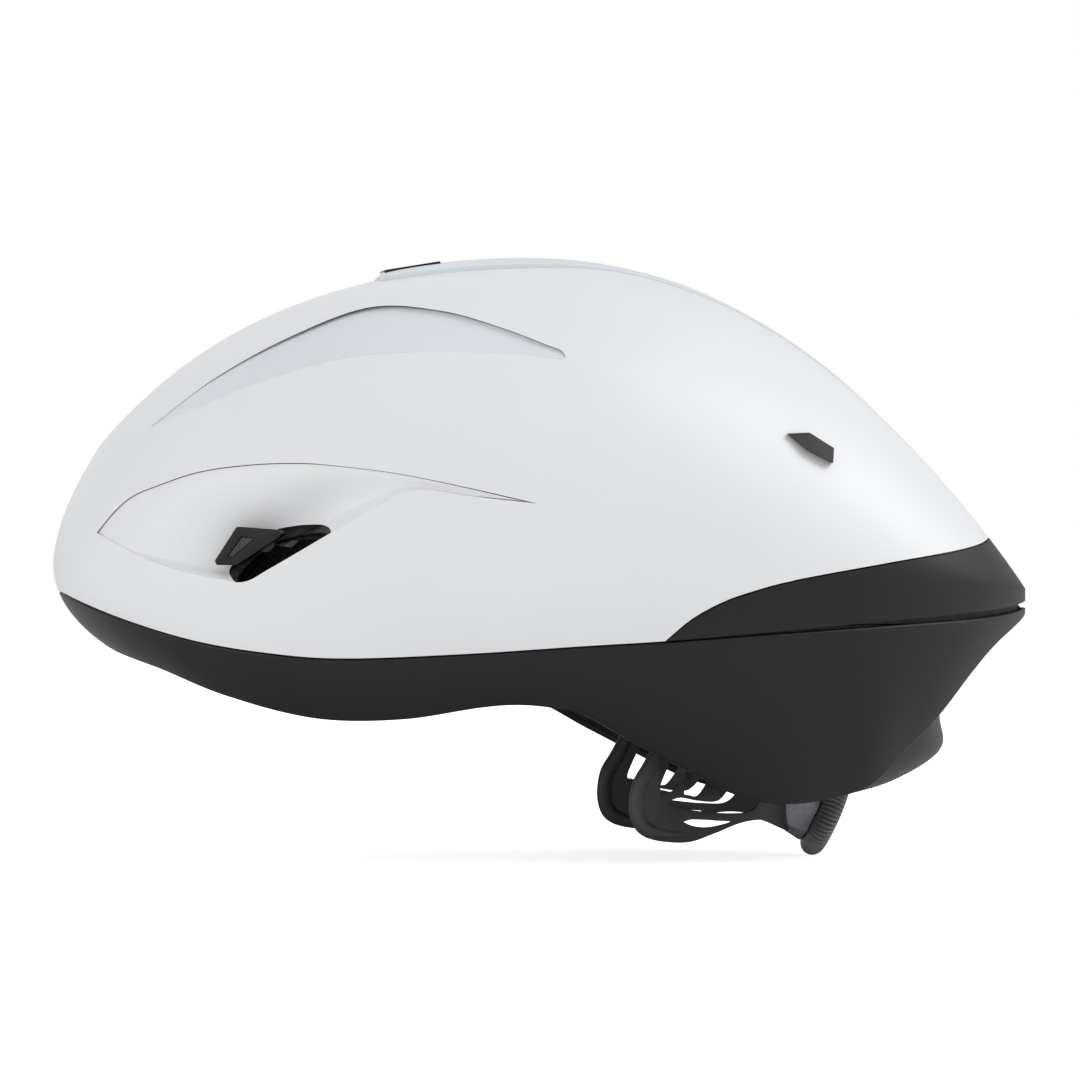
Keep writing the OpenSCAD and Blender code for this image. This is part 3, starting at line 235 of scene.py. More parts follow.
def smooth_loop(points, count):
    """A closed line through points, with a number of steps between each two."""
    points = np.asarray(points, float)
    share = np.arange(count)[:, None] / count
    before, after, later = (np.roll(points, k, axis=0)[:, None] for k in (1, -1, -2))
    here = points[:, None]
    lines = (here + .5 * share * (after - before + share * (2 * before - 5 * here + 4 * after - later
             + share * (3 * (here - after) + later - before))))
    return lines.reshape(-1, 2)


def on_side(y, z, inset=0.0):
    """The point of the left flank that lies at y and z when it is seen from the side."""
    y, z, inset = np.broadcast_arrays(np.asarray(y, float), np.asarray(z, float), np.asarray(inset, float))
    lo, hi = np.zeros(y.shape), np.full(y.shape, 89.9)
    for _ in range(30):
        mid = (lo + hi) / 2
        too_high = dome(ring_phi(y, mid, inset), mid, inset)[..., 2] > z
        hi, lo = np.where(too_high, mid, hi), np.where(too_high, lo, mid)
    return np.stack([dome(ring_phi(y, lo, inset), lo, inset)[..., 0], y, z], axis=-1)


def ring_phi(y, up, inset):
    """Angle from the nose of the dome's point that lies at y on a ring."""
    c = cosd(up)
    ahead = np.clip((MIDDLE_Y - y) / ((NOSE - inset) * c**.85), 0, 1)
    behind = np.clip((y - MIDDLE_Y) / ((TAIL - inset) * c), 0, 1)
    return np.where(y < MIDDLE_Y, np.degrees(np.arccos(ahead**(1 / .88))), 180 - np.degrees(np.arccos(behind)))


def on_top(x, y, inset=0.0):
    """The point of the dome above a place seen from the top."""
    x, y, inset = np.broadcast_arrays(np.asarray(x, float), np.asarray(y, float), np.asarray(inset, float))
    lo, hi = np.zeros(x.shape), np.full(x.shape, 89.9)
    for _ in range(30):
        mid = (lo + hi) / 2
        too_high = dome(ring_phi(y, mid, inset), mid, inset)[..., 0] < np.maximum(np.abs(x), .02)
        hi, lo = np.where(too_high, mid, hi), np.where(too_high, lo, mid)
    return np.stack([x, y, dome(ring_phi(y, lo, inset), lo, inset)[..., 2]], axis=-1)


print("length over the skin:", round(float(skin(180, 1)[1] - skin(0, 1)[1]), 1), "mm")

# %% [markdown]
# ## The lines that part the shells
# Seen from the side, a few smooth lines part the white shell from the dark one and outline the scoops and
# channels. A last line is no parting: it is the soft shoulder that runs from the nose along the channel to the back.

# %% Lines seen from the side
SPLIT = [[-156, 88], [-147.4, 81.3], [-131, 74], [-109.6, 67.4], [-88, 63.8], [-66, 62.3], [-30, 63.7], [5, 66],
         [29, 67.4], [56, 69.4], [100, 72.6], [137, 75.3], [156, 78.8]]
TAIL_LINE = [[29, 67.4], [36.8, 73.9], [46.1, 78.9], [55.4, 82.1], [69.5, 85.6], [98.6, 90.5], [124.8, 94.6],
             [137.2, 98], [146, 103]]
SCOOP_TOP = [[-137.4, 99.6], [-132.4, 105.9], [-127, 110.6], [-119.4, 113.9], [-107.9, 117.8], [-93.3, 119.9],
             [-78.7, 120.4], [-67, 119.5], [-49.5, 117.2], [-29, 113], [-9, 108.4]]
SCOOP_LOW = [[-137.4, 99.6], [-125.3, 92.8], [-112.3, 88.1], [-102.1, 85.8], [-94.8, 85.2], [-87, 89.4],
             [-69.7, 99.7], [-55.4, 108], [-45.1, 112.4], [-29, 110.6], [-9, 108.4]]
SCOOP_HOLE = [[-98.3, 89.6], [-98.5, 86.4], [-96.6, 84.6], [-93.6, 85], [-87.6, 88], [-78, 94.1], [-70.6, 98.8],
              [-69.6, 100.6], [-71.4, 102], [-76, 102.1], [-80.6, 101.6], [-85.6, 100.4], [-90.8, 97]]
CHANNEL_TOP = [[-121.1, 131.5], [-101.7, 146.2], [-79.4, 158.5], [-55.4, 167.5], [-34.6, 166.3], [-17.1, 161],
               [-4.5, 155.9], [-.2, 154.1], [1.2, 152.1]]
CHANNEL_LOW = [[-121.1, 131.5], [-106.8, 137.7], [-86.2, 146], [-65.5, 151.6], [-47.8, 153.3], [-33, 153.6],
               [-13.7, 152.9], [-1, 151.3], [1.2, 152.1]]
SHOULDER = [[-140, 122], [-134.5, 125.6], [-127, 129.6]] + CHANNEL_LOW[:-1] + [[11.2, 148.8], [32.9, 142.5],
                                                                          [52.8, 135.7], [70, 130]]
TAIL_START = TAIL_LINE[0][0]


def height_on(line, y):
    """Height of a smooth line above a place along the helmet."""
    path = smooth_line(line, 400)
    order = np.argsort(path[:, 0])
    return np.interp(y, path[order, 0], path[order, 1])


def gap_at(y):
    """Half of the gap under the white shell and the tail panel, which opens into a groove at the back."""
    return SEAM / 2 + (GROOVE - SEAM) / 2 * ease((y - TAIL_START) / (SPLIT[-1][0] - TAIL_START))


def relief(points):
    """How far the skin lies back from the master surface at the shoulder: proud below it, sunk above it."""
    y, z = points[..., 1], points[..., 2]
    high = z - height_on(SHOULDER, y)
    along = ease((y + 142) / 14) * (1 - ease((y - 5) / 62))
    proud = .8 * np.exp(-np.abs(np.minimum(high, 0)) / 22)
    sunk = (1.5 * (1 - np.exp(-np.maximum(high, 0) / 6))) * (1 - ease(high / 38))
    return along * (np.where(high > 0, sunk - .8 * (1 - ease(high / 30)), -proud))


def crossing(phi, line, shift):
    """Where the skin meets a line on its way down at each angle: v, or 2 where it doesn't."""
    steps = np.linspace(0.02, 2, 600)
    points = skin(phi[:, None], steps[None, :])
    high = points[..., 2] - height_on(line, points[..., 1]) - shift(points[..., 1])
    inside = (points[..., 1] > line[0][0] - .01) & (points[..., 1] < line[-1][0] + 12)
    found = np.full(len(phi), 2.0)
    for k in range(len(phi)):
        drop = np.nonzero((high[k, :-1] > 0) & (high[k, 1:] <= 0) & inside[k, 1:])[0]
        if len(drop):
            j = drop[0]
            found[k] = steps[j] + (steps[j + 1] - steps[j]) * high[k, j] / (high[k, j] - high[k, j + 1])
    return found


fine = np.linspace(60, 150, 1801)
tip_v = crossing(fine, SPLIT, lambda y: 0 * y)
TIP_PHI = float(np.interp(TAIL_START, skin(fine, tip_v)[:, 1], fine))
print("the tail panel starts", round(TIP_PHI, 1), "degrees from the nose")

# %% [markdown]
# ## The white shell
# The real shell is one vacuum-formed sheet. Half of it is a grid laid on the skin, from the crown down to
# the parting line. It is mirrored and gets its wall inwards. The openings for the scoops and channels are then cut through
# the wall with the outlines of their own panels.

# %% Cutting along an outline
def closed_outline(top, low, count):
    """Smooth closed outline between an upper and a lower line that share their ends."""
    return np.vstack([smooth_line(top, count), smooth_line(low, count)[-2:0:-1]])


def prism(outline, x_from=15, x_to=150):
    """A solid across the left flank, over an outline seen from the side."""
    bpy.ops.object.select_all(action="DESELECT")
    bpy.ops.mesh.primitive_circle_add(vertices=len(outline), radius=1, fill_type="NGON")
    solid = named("prism")
    put_co(solid, np.column_stack([np.full(len(outline), x_from), outline]))
    in_edit(solid, (bpy.ops.mesh.extrude_region_move,
                    {"TRANSFORM_OT_translate": {"value": ((x_to - x_from) * MM, 0, 0)}}),
            (bpy.ops.mesh.normals_make_consistent, {"inside": False}))
    return solid


def cut(piece, *cutters, operation="DIFFERENCE"):
    """Cut a closed piece with closed cutters, which are used up."""
    for cutter in cutters:
        modified(piece, "BOOLEAN", object=cutter, operation=operation, solver="EXACT")
        only(cutter)
        bpy.ops.object.delete()
    return piece


def walled(piece, wall=WALL):
    """Give a surface its wall, inwards."""
    modified(piece, "SOLIDIFY", thickness=wall * MM, offset=-1, use_even_offset=True, use_quality_normals=True)
    return smooth(piece, 40)


def rounded_rim(piece, radius=.6):
    """Round the sharp edges of a wall, so that the rim catches the light."""
    modified(piece, "BEVEL", width=radius * MM, segments=3, limit_method="ANGLE", angle_limit=math.radians(55),
             use_clamp_overlap=False)
    return smooth(piece, 50)


def mirrored(piece):
    """The whole piece from its left half."""
    modified(piece, "MIRROR", use_axis=(True, False, False), use_clip=True, merge_threshold=.03 * MM)
    return piece


# %% The white upper shell
def columns(first, last, tip, before, after):
    return np.concatenate([np.linspace(first, tip, before + 1), np.linspace(tip, last, after + 1)[1:]])


phi_all = columns(0, 180, TIP_PHI, 100, 72)
split_v = crossing(phi_all, SPLIT, lambda y: SEAM / 2 + 0 * y)
tail_v = crossing(phi_all, TAIL_LINE, lambda y: SEAM / 2 + 0 * y)
edge_v = np.where(phi_all > TIP_PHI - .01, np.minimum(tail_v, split_v), split_v)
share = np.linspace(0, 1, 93)[:, None]**.85
base = skin(phi_all[None, :], edge_v[None, :] * share)
SKIN_CENTRE = (0, 0, 70)


def set_back(points, depth):
    """Move points of the skin inwards, towards the axis of the helmet, by a depth."""
    inward = np.stack([points[..., 0], (points[..., 1] - MIDDLE_Y) * .45, (points[..., 2] - 70) * 1.1], axis=-1)
    inward /= np.maximum(np.linalg.norm(inward, axis=-1, keepdims=True), 1e-6)
    return points - inward * np.asarray(depth)[..., None]


upper = laid_grid("white_shell", set_back(base, relief(base)))
merged(upper)
facing(upper, SKIN_CENTRE)
mirrored(upper)
walled(upper)
for side in (1, -1):
    for top, low in ((SCOOP_TOP, SCOOP_LOW), (CHANNEL_TOP, CHANNEL_LOW)):
        cut(upper, prism(closed_outline(top, low, 80), 15 * side, 150 * side))
smooth(upper, 40)
print("white shell:", len(upper.data.polygons), "faces")

# %% [markdown]
# ## The dark shells
# Below the parting line the real helmet has a second moulding, satin black, that wraps the temples and
# deepens at the nape. The tail panel is a third one. It comes to a point on each flank, and the groove
# below it opens towards the back.

# %% The lower shell
low_v = crossing(phi_all, SPLIT, lambda y: -gap_at(y))
steps = np.linspace(0, 1, 25)[:, None]
lower = laid_grid("dark_lower_shell", skin(phi_all[None, :], low_v[None, :] + (2 - low_v[None, :]) * steps))
facing(lower, SKIN_CENTRE)
mirrored(lower)
walled(lower)
rounded_rim(lower)
print("lower shell:", len(lower.data.polygons), "faces")

# %% The tail panel
phi_tail = TIP_PHI + (180 - TIP_PHI) * np.linspace(0.006, 1, 90)**1.15
top_v = crossing(phi_tail, TAIL_LINE, lambda y: -SEAM / 2 + 0 * y)
bottom_v = crossing(phi_tail, SPLIT, gap_at)
top_v = np.minimum(top_v, bottom_v - .002)
steps = np.linspace(0, 1, 25)[:, None]
tail = laid_grid("tail_panel_skin", skin(phi_tail[None, :], top_v[None, :] + (bottom_v - top_v)[None, :] * steps))
facing(tail, SKIN_CENTRE)
mirrored(tail)
walled(tail)
print("tail panel:", len(tail.data.polygons), "faces")

# %% [markdown]
# ## Scoops and channels
# A scoop is a pressed pan that starts flush at the nose, sinks towards the air inlet and rises again in a
# steep ramp behind it. The pan is a grid between the two lines, set back by a depth that changes along
# and across it.

# %% Panels between two side lines
def panel_rows(top, low, along, across, margin, depth, ends=(.004, .996)):
    """Places between two side lines, kept a margin away from them, set back by a depth."""
    s = np.linspace(ends[0], ends[1], along)
    a, b = line_places(top, s), line_places(low, s)
    width = np.linalg.norm(a - b, axis=1)
    edge = np.minimum(.45, margin / np.maximum(width, .01))[:, None]
    t = edge + (1 - 2 * edge) * np.linspace(0, 1, across)[None, :]
    y = a[:, 0, None] * (1 - t) + b[:, 0, None] * t
    z = a[:, 1, None] * (1 - t) + b[:, 1, None] * t
    base = on_side(y, z)
    return on_side(y, z, depth(s[:, None] + 0 * t, t) + relief(base))


def line_places(points, s):
    points = np.array(points, float)
    table = np.column_stack([np.arange(len(points)), points])
    return row_at(table, s * (len(points) - 1))[:, 1:]


def scoop_depth(s, t):
    """Depth of the scoop: a step at its upper line, a pan that sinks, and a ramp up to the cheek."""
    step = .6 * (1 - ease((t - .9) * 10))
    pan = 9 * ease((s - .08) / .4) * (1 - .8 * ease((s - .6) / .2)) * (1 - ease((s - .8) / .18))
    return step + pan * ease(t / .8) * (1 - ease((t - .86) / .14))


def channel_depth(s, t):
    return 1.3 * ease(s / .35) * (1 - .3 * ease((s - .7) / .3)) * (1 - t) + .05


def twin(piece, name):
    """The same piece on the wearer's right."""
    only(piece)
    bpy.ops.object.duplicate()
    other = named(name)
    bpy.ops.transform.mirror(orient_type="GLOBAL", constraint_axis=(True, False, False),
                             center_override=(0, 0, 0))
    bpy.ops.object.transform_apply(location=True, rotation=True, scale=True)
    in_edit(other, (bpy.ops.mesh.normals_make_consistent, {"inside": False}))
    return smooth(other, 40)


scoop = laid_grid("scoop_pan_left", panel_rows(SCOOP_TOP, SCOOP_LOW, 120, 40, SEAM / 2, scoop_depth))
facing(scoop, SKIN_CENTRE)
walled(scoop, 1.4)
cut(scoop, prism(smooth_loop(SCOOP_HOLE, 6)))
smooth(scoop, 40)
scoop_right = twin(scoop, "scoop_pan_right")
channel = laid_grid("channel_panel_left", panel_rows(CHANNEL_TOP, CHANNEL_LOW, 100, 16, .15, channel_depth))
facing(channel, SKIN_CENTRE)
walled(channel, 1.4)
channel_right = twin(channel, "channel_panel_right")
print("scoop:", len(scoop.data.polygons), "faces, channel:", len(channel.data.polygons), "faces")

# %% [markdown]
# ## The crown cover
# A shallow moulding lies along the crown. It starts with a small step behind the slotted intake and runs
# out towards the tail.

# %% Crown cover
COVER_HALF = np.array([[-50, .62], [-44, .8], [-30, .93], [0, 1], [45, .92], [80, .6], [104, .12]])
COVER_W, COVER_H = 24, 1.9
cover_y = np.concatenate([np.linspace(-50, -46, 12), np.linspace(-46, 104, 110)[1:]])
cover_q = np.linspace(-1, 1, 41)
half = COVER_W * row_at(COVER_HALF, cover_y)[:, 1]
rise = (COVER_H + (.7 - COVER_H) * ease((cover_y + 14) / 44)) * (.3 + .7 * ease((cover_y + 50) / 1.8))
rise = rise[:, None] * (1 - .45 * np.abs(cover_q)[None, :]**6)
place = on_top(cover_q[None, :] * half[:, None], cover_y[:, None] + 0 * cover_q[None, :])
cover = laid_grid("crown_cover_skin", on_top(place[..., 0], place[..., 1], -rise))
facing(cover, SKIN_CENTRE)
walled(cover, 1.5)
print("crown cover:", len(cover.data.polygons), "faces")

# %% [markdown]
# ## Closed forms from grids
# Many inner pieces are thick sheets: a pad, a strap, the space that a scoop needs in the foam. Such a piece
# is a grid that is extruded once, with its two layers laid on two sets of places. A round or long piece is a
# grid too: its columns run round a section, and its rows along a path.

# %% Closed sheets and swept sections
def closed_sheet(name, front, back):
    """A closed piece between two grids of places in millimetres."""
    piece = laid_grid(name, front)
    count = len(piece.data.vertices)
    in_edit(piece, (bpy.ops.mesh.extrude_region_move, {"TRANSFORM_OT_translate": {"value": (0, 0, 1)}}))
    put_co(piece, np.vstack([co_of(piece)[:count], np.asarray(back).reshape(-1, 3)]))
    in_edit(piece, (bpy.ops.mesh.normals_make_consistent, {"inside": False}))
    return piece


def swept(name, rows, closed=False):
    """A closed piece from rows of section points. Each section's last point repeats its first."""
    piece = laid_grid(name, np.concatenate([rows, rows[:1]]) if closed else rows)
    merged(piece, .002)
    if not closed:
        in_edit(piece, (bpy.ops.mesh.fill_holes, {"sides": 0}))
    in_edit(piece, (bpy.ops.mesh.normals_make_consistent, {"inside": False}))
    return smooth(piece)


def along(path, section, upward=(0, 0, 1)):
    """Rows for a section, given as places across and up, carried along a path."""
    path = np.asarray(path, float)
    way = np.gradient(path, axis=0)
    way /= np.linalg.norm(way, axis=1, keepdims=True)
    side = np.cross(way, np.asarray(upward, float))
    side /= np.linalg.norm(side, axis=1, keepdims=True)
    rise = np.cross(side, way)
    section = np.asarray(section, float)
    return (path[:, None, :] + section[None, :, :1] * side[:, None, :] + section[None, :, 1:] * rise[:, None, :])


def rounded_section(width, height, corner, steps=3):
    """A rectangle with round corners, as places across and up, ending where it starts."""
    turns = np.radians(np.linspace(0, 90, steps + 1))
    arc = np.column_stack([np.cos(turns), np.sin(turns)]) * corner
    spot = np.array([width / 2 - corner, height / 2 - corner])
    corners = [spot + arc, (spot + arc)[::-1] * (-1, 1), -(spot + arc), (spot + arc)[::-1] * (1, -1)]
    loop = np.vstack(corners)
    return np.vstack([loop, loop[:1]])


def turned(name, section, place, count=96, ribs=None):
    """A turned piece: a closed section of radii and heights taken round, laid where place puts it."""
    section = np.asarray(section, float)
    angle = np.radians(np.linspace(0, 360, count, endpoint=False))[:, None]
    radius = section[None, :, 0] - (ribs(angle) * section[None, :, 2] if ribs else 0)
    rows = np.stack([radius * np.cos(angle), radius * np.sin(angle), section[None, :, 1] + 0 * angle], axis=-1)
    return swept(name, place(rows), closed=True)


def joined(*pieces):
    """Several pieces as one, under the name of the first."""
    only(*pieces)
    bpy.ops.object.join()
    return bpy.context.object


def rounded_copy(node, name, radius, angle=30, segments=3):
    """A copy of a CAD node with merged points, flat faces and rounded edges."""
    only(NODES[node])
    bpy.ops.object.duplicate()
    piece = named(name)
    merged(piece, .01)
    in_edit(piece, (bpy.ops.mesh.dissolve_limited, {"angle_limit": math.radians(1.5)}))
    modified(piece, "BEVEL", width=radius * MM, segments=segments, limit_method="ANGLE",
             angle_limit=math.radians(angle), use_clamp_overlap=True)
    return smooth(piece, 50)


# %% [markdown]
# ## The underside
# A thin black cover closes the helmet from the rim to the head's opening. Behind the nape it rolls out in a
# rounded lip between the two sides of the shell, which the photograph shows from the side.

# %% The base cover
CAVITY_W, CAVITY_L, CAVITY_Y, CAVITY_Z, CAVITY_TOP = 165, 206, -19, 78, 154
CRADLE_Y, CRADLE_R, NOTCH_R, NOTCH_END, BAY_R, BAY_TOP = 20.5, 56, 31, 103.5, 67.5, 66


def under(phi, k, inset, lift=0.0):
    """Points of the underside, from the left rim at k = 0 to the right rim at k = 1."""
    edge, row = rim(phi, inset), row_at(RIM, phi)
    bow = 1 - np.abs(2 * k - 1)**2.2
    lean = ease((phi - 110) / 30)
    curl = np.exp(-((phi - 143.5) / 6)**2)
    return np.stack([edge[..., 0] * (1 - 2 * k), edge[..., 1] + row[..., 4] * bow - lift * (.7 * lean + .5 * curl * bow),
                     edge[..., 2] + row[..., 5] * bow + lift * (1 - .3 * lean - 1.6 * curl * bow)], axis=-1)


def cylinder(centre, radii, height, turn=(0, 0, 0), count=128):
    """A closed cutter: a cylinder with its foot at a place, sizes in millimetres."""
    bpy.ops.object.select_all(action="DESELECT")
    bpy.ops.mesh.primitive_cylinder_add(vertices=count, radius=1, depth=2)
    piece = named("cutter")
    points = co_of(piece) * MM
    points = points * (radii[0], radii[1], height / 2) + (0, 0, height / 2)
    put_co(piece, points @ turn_matrix(turn).T + centre)
    return piece


def turn_matrix(degrees):
    """The rotation about X, then Y, then Z."""
    made = np.eye(3)
    for axis, angle in enumerate(degrees):
        c, s = cosd(angle), sind(angle)
        step = np.eye(3)
        i, j = [(1, 2), (2, 0), (0, 1)][axis]
        step[i, i], step[j, j], step[i, j], step[j, i] = c, c, -s, s
        made = step @ made
    return made


def block(centre, size, turn=(0, 0, 0)):
    """A closed cutter: a block with its middle at a place, sizes in millimetres."""
    bpy.ops.object.select_all(action="DESELECT")
    bpy.ops.mesh.primitive_cube_add(size=1)
    piece = named("cutter")
    put_co(piece, (co_of(piece) * MM * np.array(size)) @ turn_matrix(turn).T + centre)
    return piece


def ellipsoid(grow):
    """A closed cutter: the dome of the head's room, grown by a margin."""
    bpy.ops.object.select_all(action="DESELECT")
    bpy.ops.mesh.primitive_uv_sphere_add(segments=128, ring_count=64, radius=1)
    piece = named("cutter")
    radii = (CAVITY_W / 2 + grow, CAVITY_L / 2 + grow, CAVITY_TOP - CAVITY_Z + grow)
    put_co(piece, co_of(piece) * MM * radii + (0, CAVITY_Y, CAVITY_Z))
    return piece


def nape_cutters(low=-1):
    """The arch for the dial and the bay behind the cradle."""
    return [cylinder((0, CRADLE_Y, NOTCH_R / 2), (NOTCH_R, NOTCH_R), NOTCH_END - CRADLE_Y, (-90, 0, 0), 96),
            cylinder((0, CRADLE_Y, low), (BAY_R, BAY_R), BAY_TOP - low)]


DUCT_X, DUCT_START, DUCT_FALL, DUCT_SIZE = 17, (68, 96), 32, (22, 92, 11)


def duct_cutters(grow):
    """The two exhaust ducts, which fall from the head's room to the ports under the tail."""
    made = []
    for x in (-DUCT_X, DUCT_X):
        middle = np.array((x, DUCT_START[0], DUCT_START[1])) + turn_matrix((-DUCT_FALL, 0, 0)) @ (0, DUCT_SIZE[1] / 2, 0)
        made.append(block(middle, (DUCT_SIZE[0] + 2 * grow, DUCT_SIZE[1], DUCT_SIZE[2] + 2 * grow), (-DUCT_FALL, 0, 0)))
    return made


phi_under = np.concatenate([np.linspace(0, 108, 90), np.linspace(108, 156, 90)[1:], np.linspace(156, 180, 30)[1:]])
k_under = .5 - .5 * np.cos(np.linspace(0, math.pi, 61))
base_cover = laid_grid("base_cover_skin", under(phi_under[:, None], k_under[None, :], INNER))
merged(base_cover)
facing(base_cover, (0, 0, 90))
walled(base_cover)
cut(base_cover, cylinder((0, CAVITY_Y, -10), (CAVITY_W / 2, CAVITY_L / 2), 110), *nape_cutters(), *duct_cutters(0))
smooth(base_cover, 40)
print("base cover:", len(base_cover.data.polygons), "faces")

# %% [markdown]
# ## The cradle
# The nape cradle is one curved sheet with windows. It is cut as it would be punched: a side view of the wing
# and its windows, pushed through a fine round tube. Its front edge is rolled outwards into a strip of the same nylon,
# painted paler as a painted highlight where the roll catches the light.

# %% The nape cradle
WING = [[29.5, 62], [30.5, 48], [30.4, 38], [27.2, 30.8], [23.6, 24.5], [22.5, 17], [23.9, 11], [27.5, 7.8],
        [33, 6.4], [41, 6.2], [49, 8.6], [58, 11.6], [66, 12], [72, 9.5], [80, 8], [83, 26], [78, 44],
        [68, 54], [54, 61], [41, 64.5], [32, 65]]
WINDOWS = [
    [[31.9, 23.2], [33.3, 21.9], [36.3, 22], [40.6, 28], [44, 35.4], [43.6, 41.8], [40.4, 41.4], [35.6, 31.8]],
    [[39.3, 21.4], [41.2, 20.3], [44, 20.4], [48, 26.4], [52.4, 35], [54, 44.4], [50, 45.2], [46.8, 37], [42.8, 27.8]],
    [[34, 17.9], [38, 16.5], [46, 15.2], [55, 14.5], [61.6, 15.2], [65, 20.6], [66, 32], [65, 42], [61.4, 43.4],
     [58.4, 33], [55, 24.4], [51.4, 19.4], [48.4, 18.2], [43, 18.7], [37.8, 19.6]],
    [[39, 12.8], [41.6, 11.2], [46, 10.5], [50.5, 11], [54.4, 12], [50, 12.4], [44, 12.9]]]
CRADLE_T, BELT_X, BAND_Z, BAND_W, BAND_T = 2.4, 60.6, 55, 12, 1.4

cradle = cylinder((0, CRADLE_Y, 2), (CRADLE_R, CRADLE_R), 66, count=240)
cradle.name = "cradle_body"
cut(cradle, cylinder((0, CRADLE_Y, 1), (CRADLE_R - CRADLE_T,) * 2, 68, count=240))
cut(cradle, prism(smooth_loop(WING, 6), -70, 70), operation="INTERSECT")
cut(cradle, *[prism(smooth_loop(hole, 5), -70, 70) for hole in WINDOWS])
modified(cradle, "BEVEL", width=.5 * MM, segments=3, limit_method="ANGLE", angle_limit=math.radians(50),
         use_clamp_overlap=True)
smooth(cradle, 40)

edge_line = smooth_loop(WING, 8)[4:72]
near = (edge_line[:, 1] < 46) & (edge_line[:, 0] < 45)
edge_line = edge_line[near]
heading = np.gradient(edge_line, axis=0)
heading /= np.linalg.norm(heading, axis=1, keepdims=True)
inward = np.stack([-heading[:, 1], heading[:, 0]], axis=1)
taper = np.clip(np.minimum(np.arange(len(edge_line)), np.arange(len(edge_line))[::-1]) / 14, 0, 1)[:, None]**.6
ring = np.radians(np.linspace(0, 360, 17))
rolls = []
for side in (1, -1):
    places = edge_line[:, None] + inward[:, None] * (2.4 + 2.5 * np.cos(ring)[None, :, None] * (.25 + .75 * taper[:, None]))
    out = CRADLE_R - CRADLE_T / 2 + (CRADLE_T / 2 + .9 * taper) * np.sin(ring)[None, :]
    across = np.sqrt(np.maximum(out**2 - (places[..., 0] - CRADLE_Y)**2, 0))
    rolls.append(swept("edge_roll", np.stack([across * side, places[..., 0], places[..., 1]], axis=-1)))
rolled_edge = joined(*rolls)
rolled_edge.name = "cradle_rolled_edge"

KEEPER_Y, KEEPER_L, KEEPER_WALL, PLAY = CRADLE_Y + 9, 9, 2, .3
keepers = []
for side in (1, -1):
    low, high = CRADLE_R - 6, BELT_X + BAND_T / 2 + PLAY + KEEPER_WALL
    keeper = block((side * (low + high) / 2, KEEPER_Y + KEEPER_L / 2, BAND_Z),
                   (high - low, KEEPER_L, BAND_W + 2 * PLAY + 2 * KEEPER_WALL))
    cut(keeper, block((side * BELT_X, KEEPER_Y + KEEPER_L / 2, BAND_Z),
                      (BAND_T + 2 * PLAY, KEEPER_L + 4, BAND_W + 2 * PLAY)),
        cylinder((0, CRADLE_Y, 0), (CRADLE_R - .5, CRADLE_R - .5), 90))
    modified(keeper, "BEVEL", width=.6 * MM, segments=2, limit_method="ANGLE", angle_limit=math.radians(40))
    keepers.append(smooth(keeper, 40))
cradle = joined(cradle, *keepers)
print("cradle:", len(cradle.data.polygons), "faces")

# %% [markdown]
# ## The dial
# The dial leans with the nape. Its grip has a full round rim with fine ribs, and it turns on a steel axle in
# a facetted housing. A spool on its back winds the lace that draws the cradle in.

# %% Dial grip, knob, cap, axle and spool
DIAL_D, DIAL_T, DIAL_RIBS, DIAL_LEAN = 27, 7, 56, 24
DIAL_AT = np.array((0, CRADLE_Y + CRADLE_R + 11.7, (DIAL_D / 2 - DIAL_T / 2) * cosd(DIAL_LEAN) + DIAL_T / 2))
CORE_R, AXLE_R, SPOOL_D = DIAL_D / 2 - DIAL_T / 2 - .6, 2, 9
HEAD_R, FACE_GAP, SPOOL_L = AXLE_R + 1.5, .4, 5
DIAL_BACK = -DIAL_T / 2 - FACE_GAP


def at_dial(points):
    """Places of the dial, drawn with its axis upright."""
    return points @ turn_matrix((-90 - DIAL_LEAN, 0, 0)).T + DIAL_AT


turn_steps = np.linspace(-90, 90, 25)
rim_line = np.stack([DIAL_D / 2 - DIAL_T / 2 + DIAL_T / 2 * cosd(turn_steps), DIAL_T / 2 * sind(turn_steps),
                     1.4 * np.clip(cosd(turn_steps), 0, 1)**.25], axis=1)
inner_line = np.array([[CORE_R + .6, DIAL_T / 2, 0], [CORE_R + .05, DIAL_T / 2 - .5, 0],
                       [CORE_R + .05, -DIAL_T / 2 + .5, 0], [CORE_R + .6, -DIAL_T / 2, 0], rim_line[0]])
grip = turned("dial_grip_ribs", np.vstack([rim_line, inner_line]), at_dial, DIAL_RIBS * 10,
              lambda angle: 1 - np.abs(np.sin(angle * DIAL_RIBS / 2)))


def flat_ring(inside, outside, low, high, edge=.3):
    """A section for a turned ring with small chamfers."""
    return [[inside, low, 0], [outside - edge, low, 0], [outside, low + edge, 0], [outside, high - edge, 0],
            [outside - edge, high, 0], [inside + edge, high, 0], [inside, high - edge, 0], [inside, low, 0]]


face = [[AXLE_R + .05, -DIAL_T / 2, 0], [CORE_R - .4, -DIAL_T / 2, 0], [CORE_R, -DIAL_T / 2 + .4, 0],
        [CORE_R, DIAL_T / 2 - .3, 0], [CORE_R - .3, DIAL_T / 2, 0], [CORE_R - 1.2, DIAL_T / 2, 0],
        [CORE_R - 1.7, DIAL_T / 2 - .35, 0], [7, DIAL_T / 2 - .6, 0], [5.6, DIAL_T / 2 - .5, 0],
        [HEAD_R + 1, DIAL_T / 2 - .1, 0], [HEAD_R + .5, DIAL_T / 2 - .4, 0], [HEAD_R + .5, DIAL_T / 2 - 2.4, 0],
        [AXLE_R + .05, DIAL_T / 2 - 2.4, 0], [AXLE_R + .05, -DIAL_T / 2, 0]]
knob = smooth(turned("dial_knob_turned", face, at_dial, 120), 25)
cap_top = DIAL_T / 2 + .4
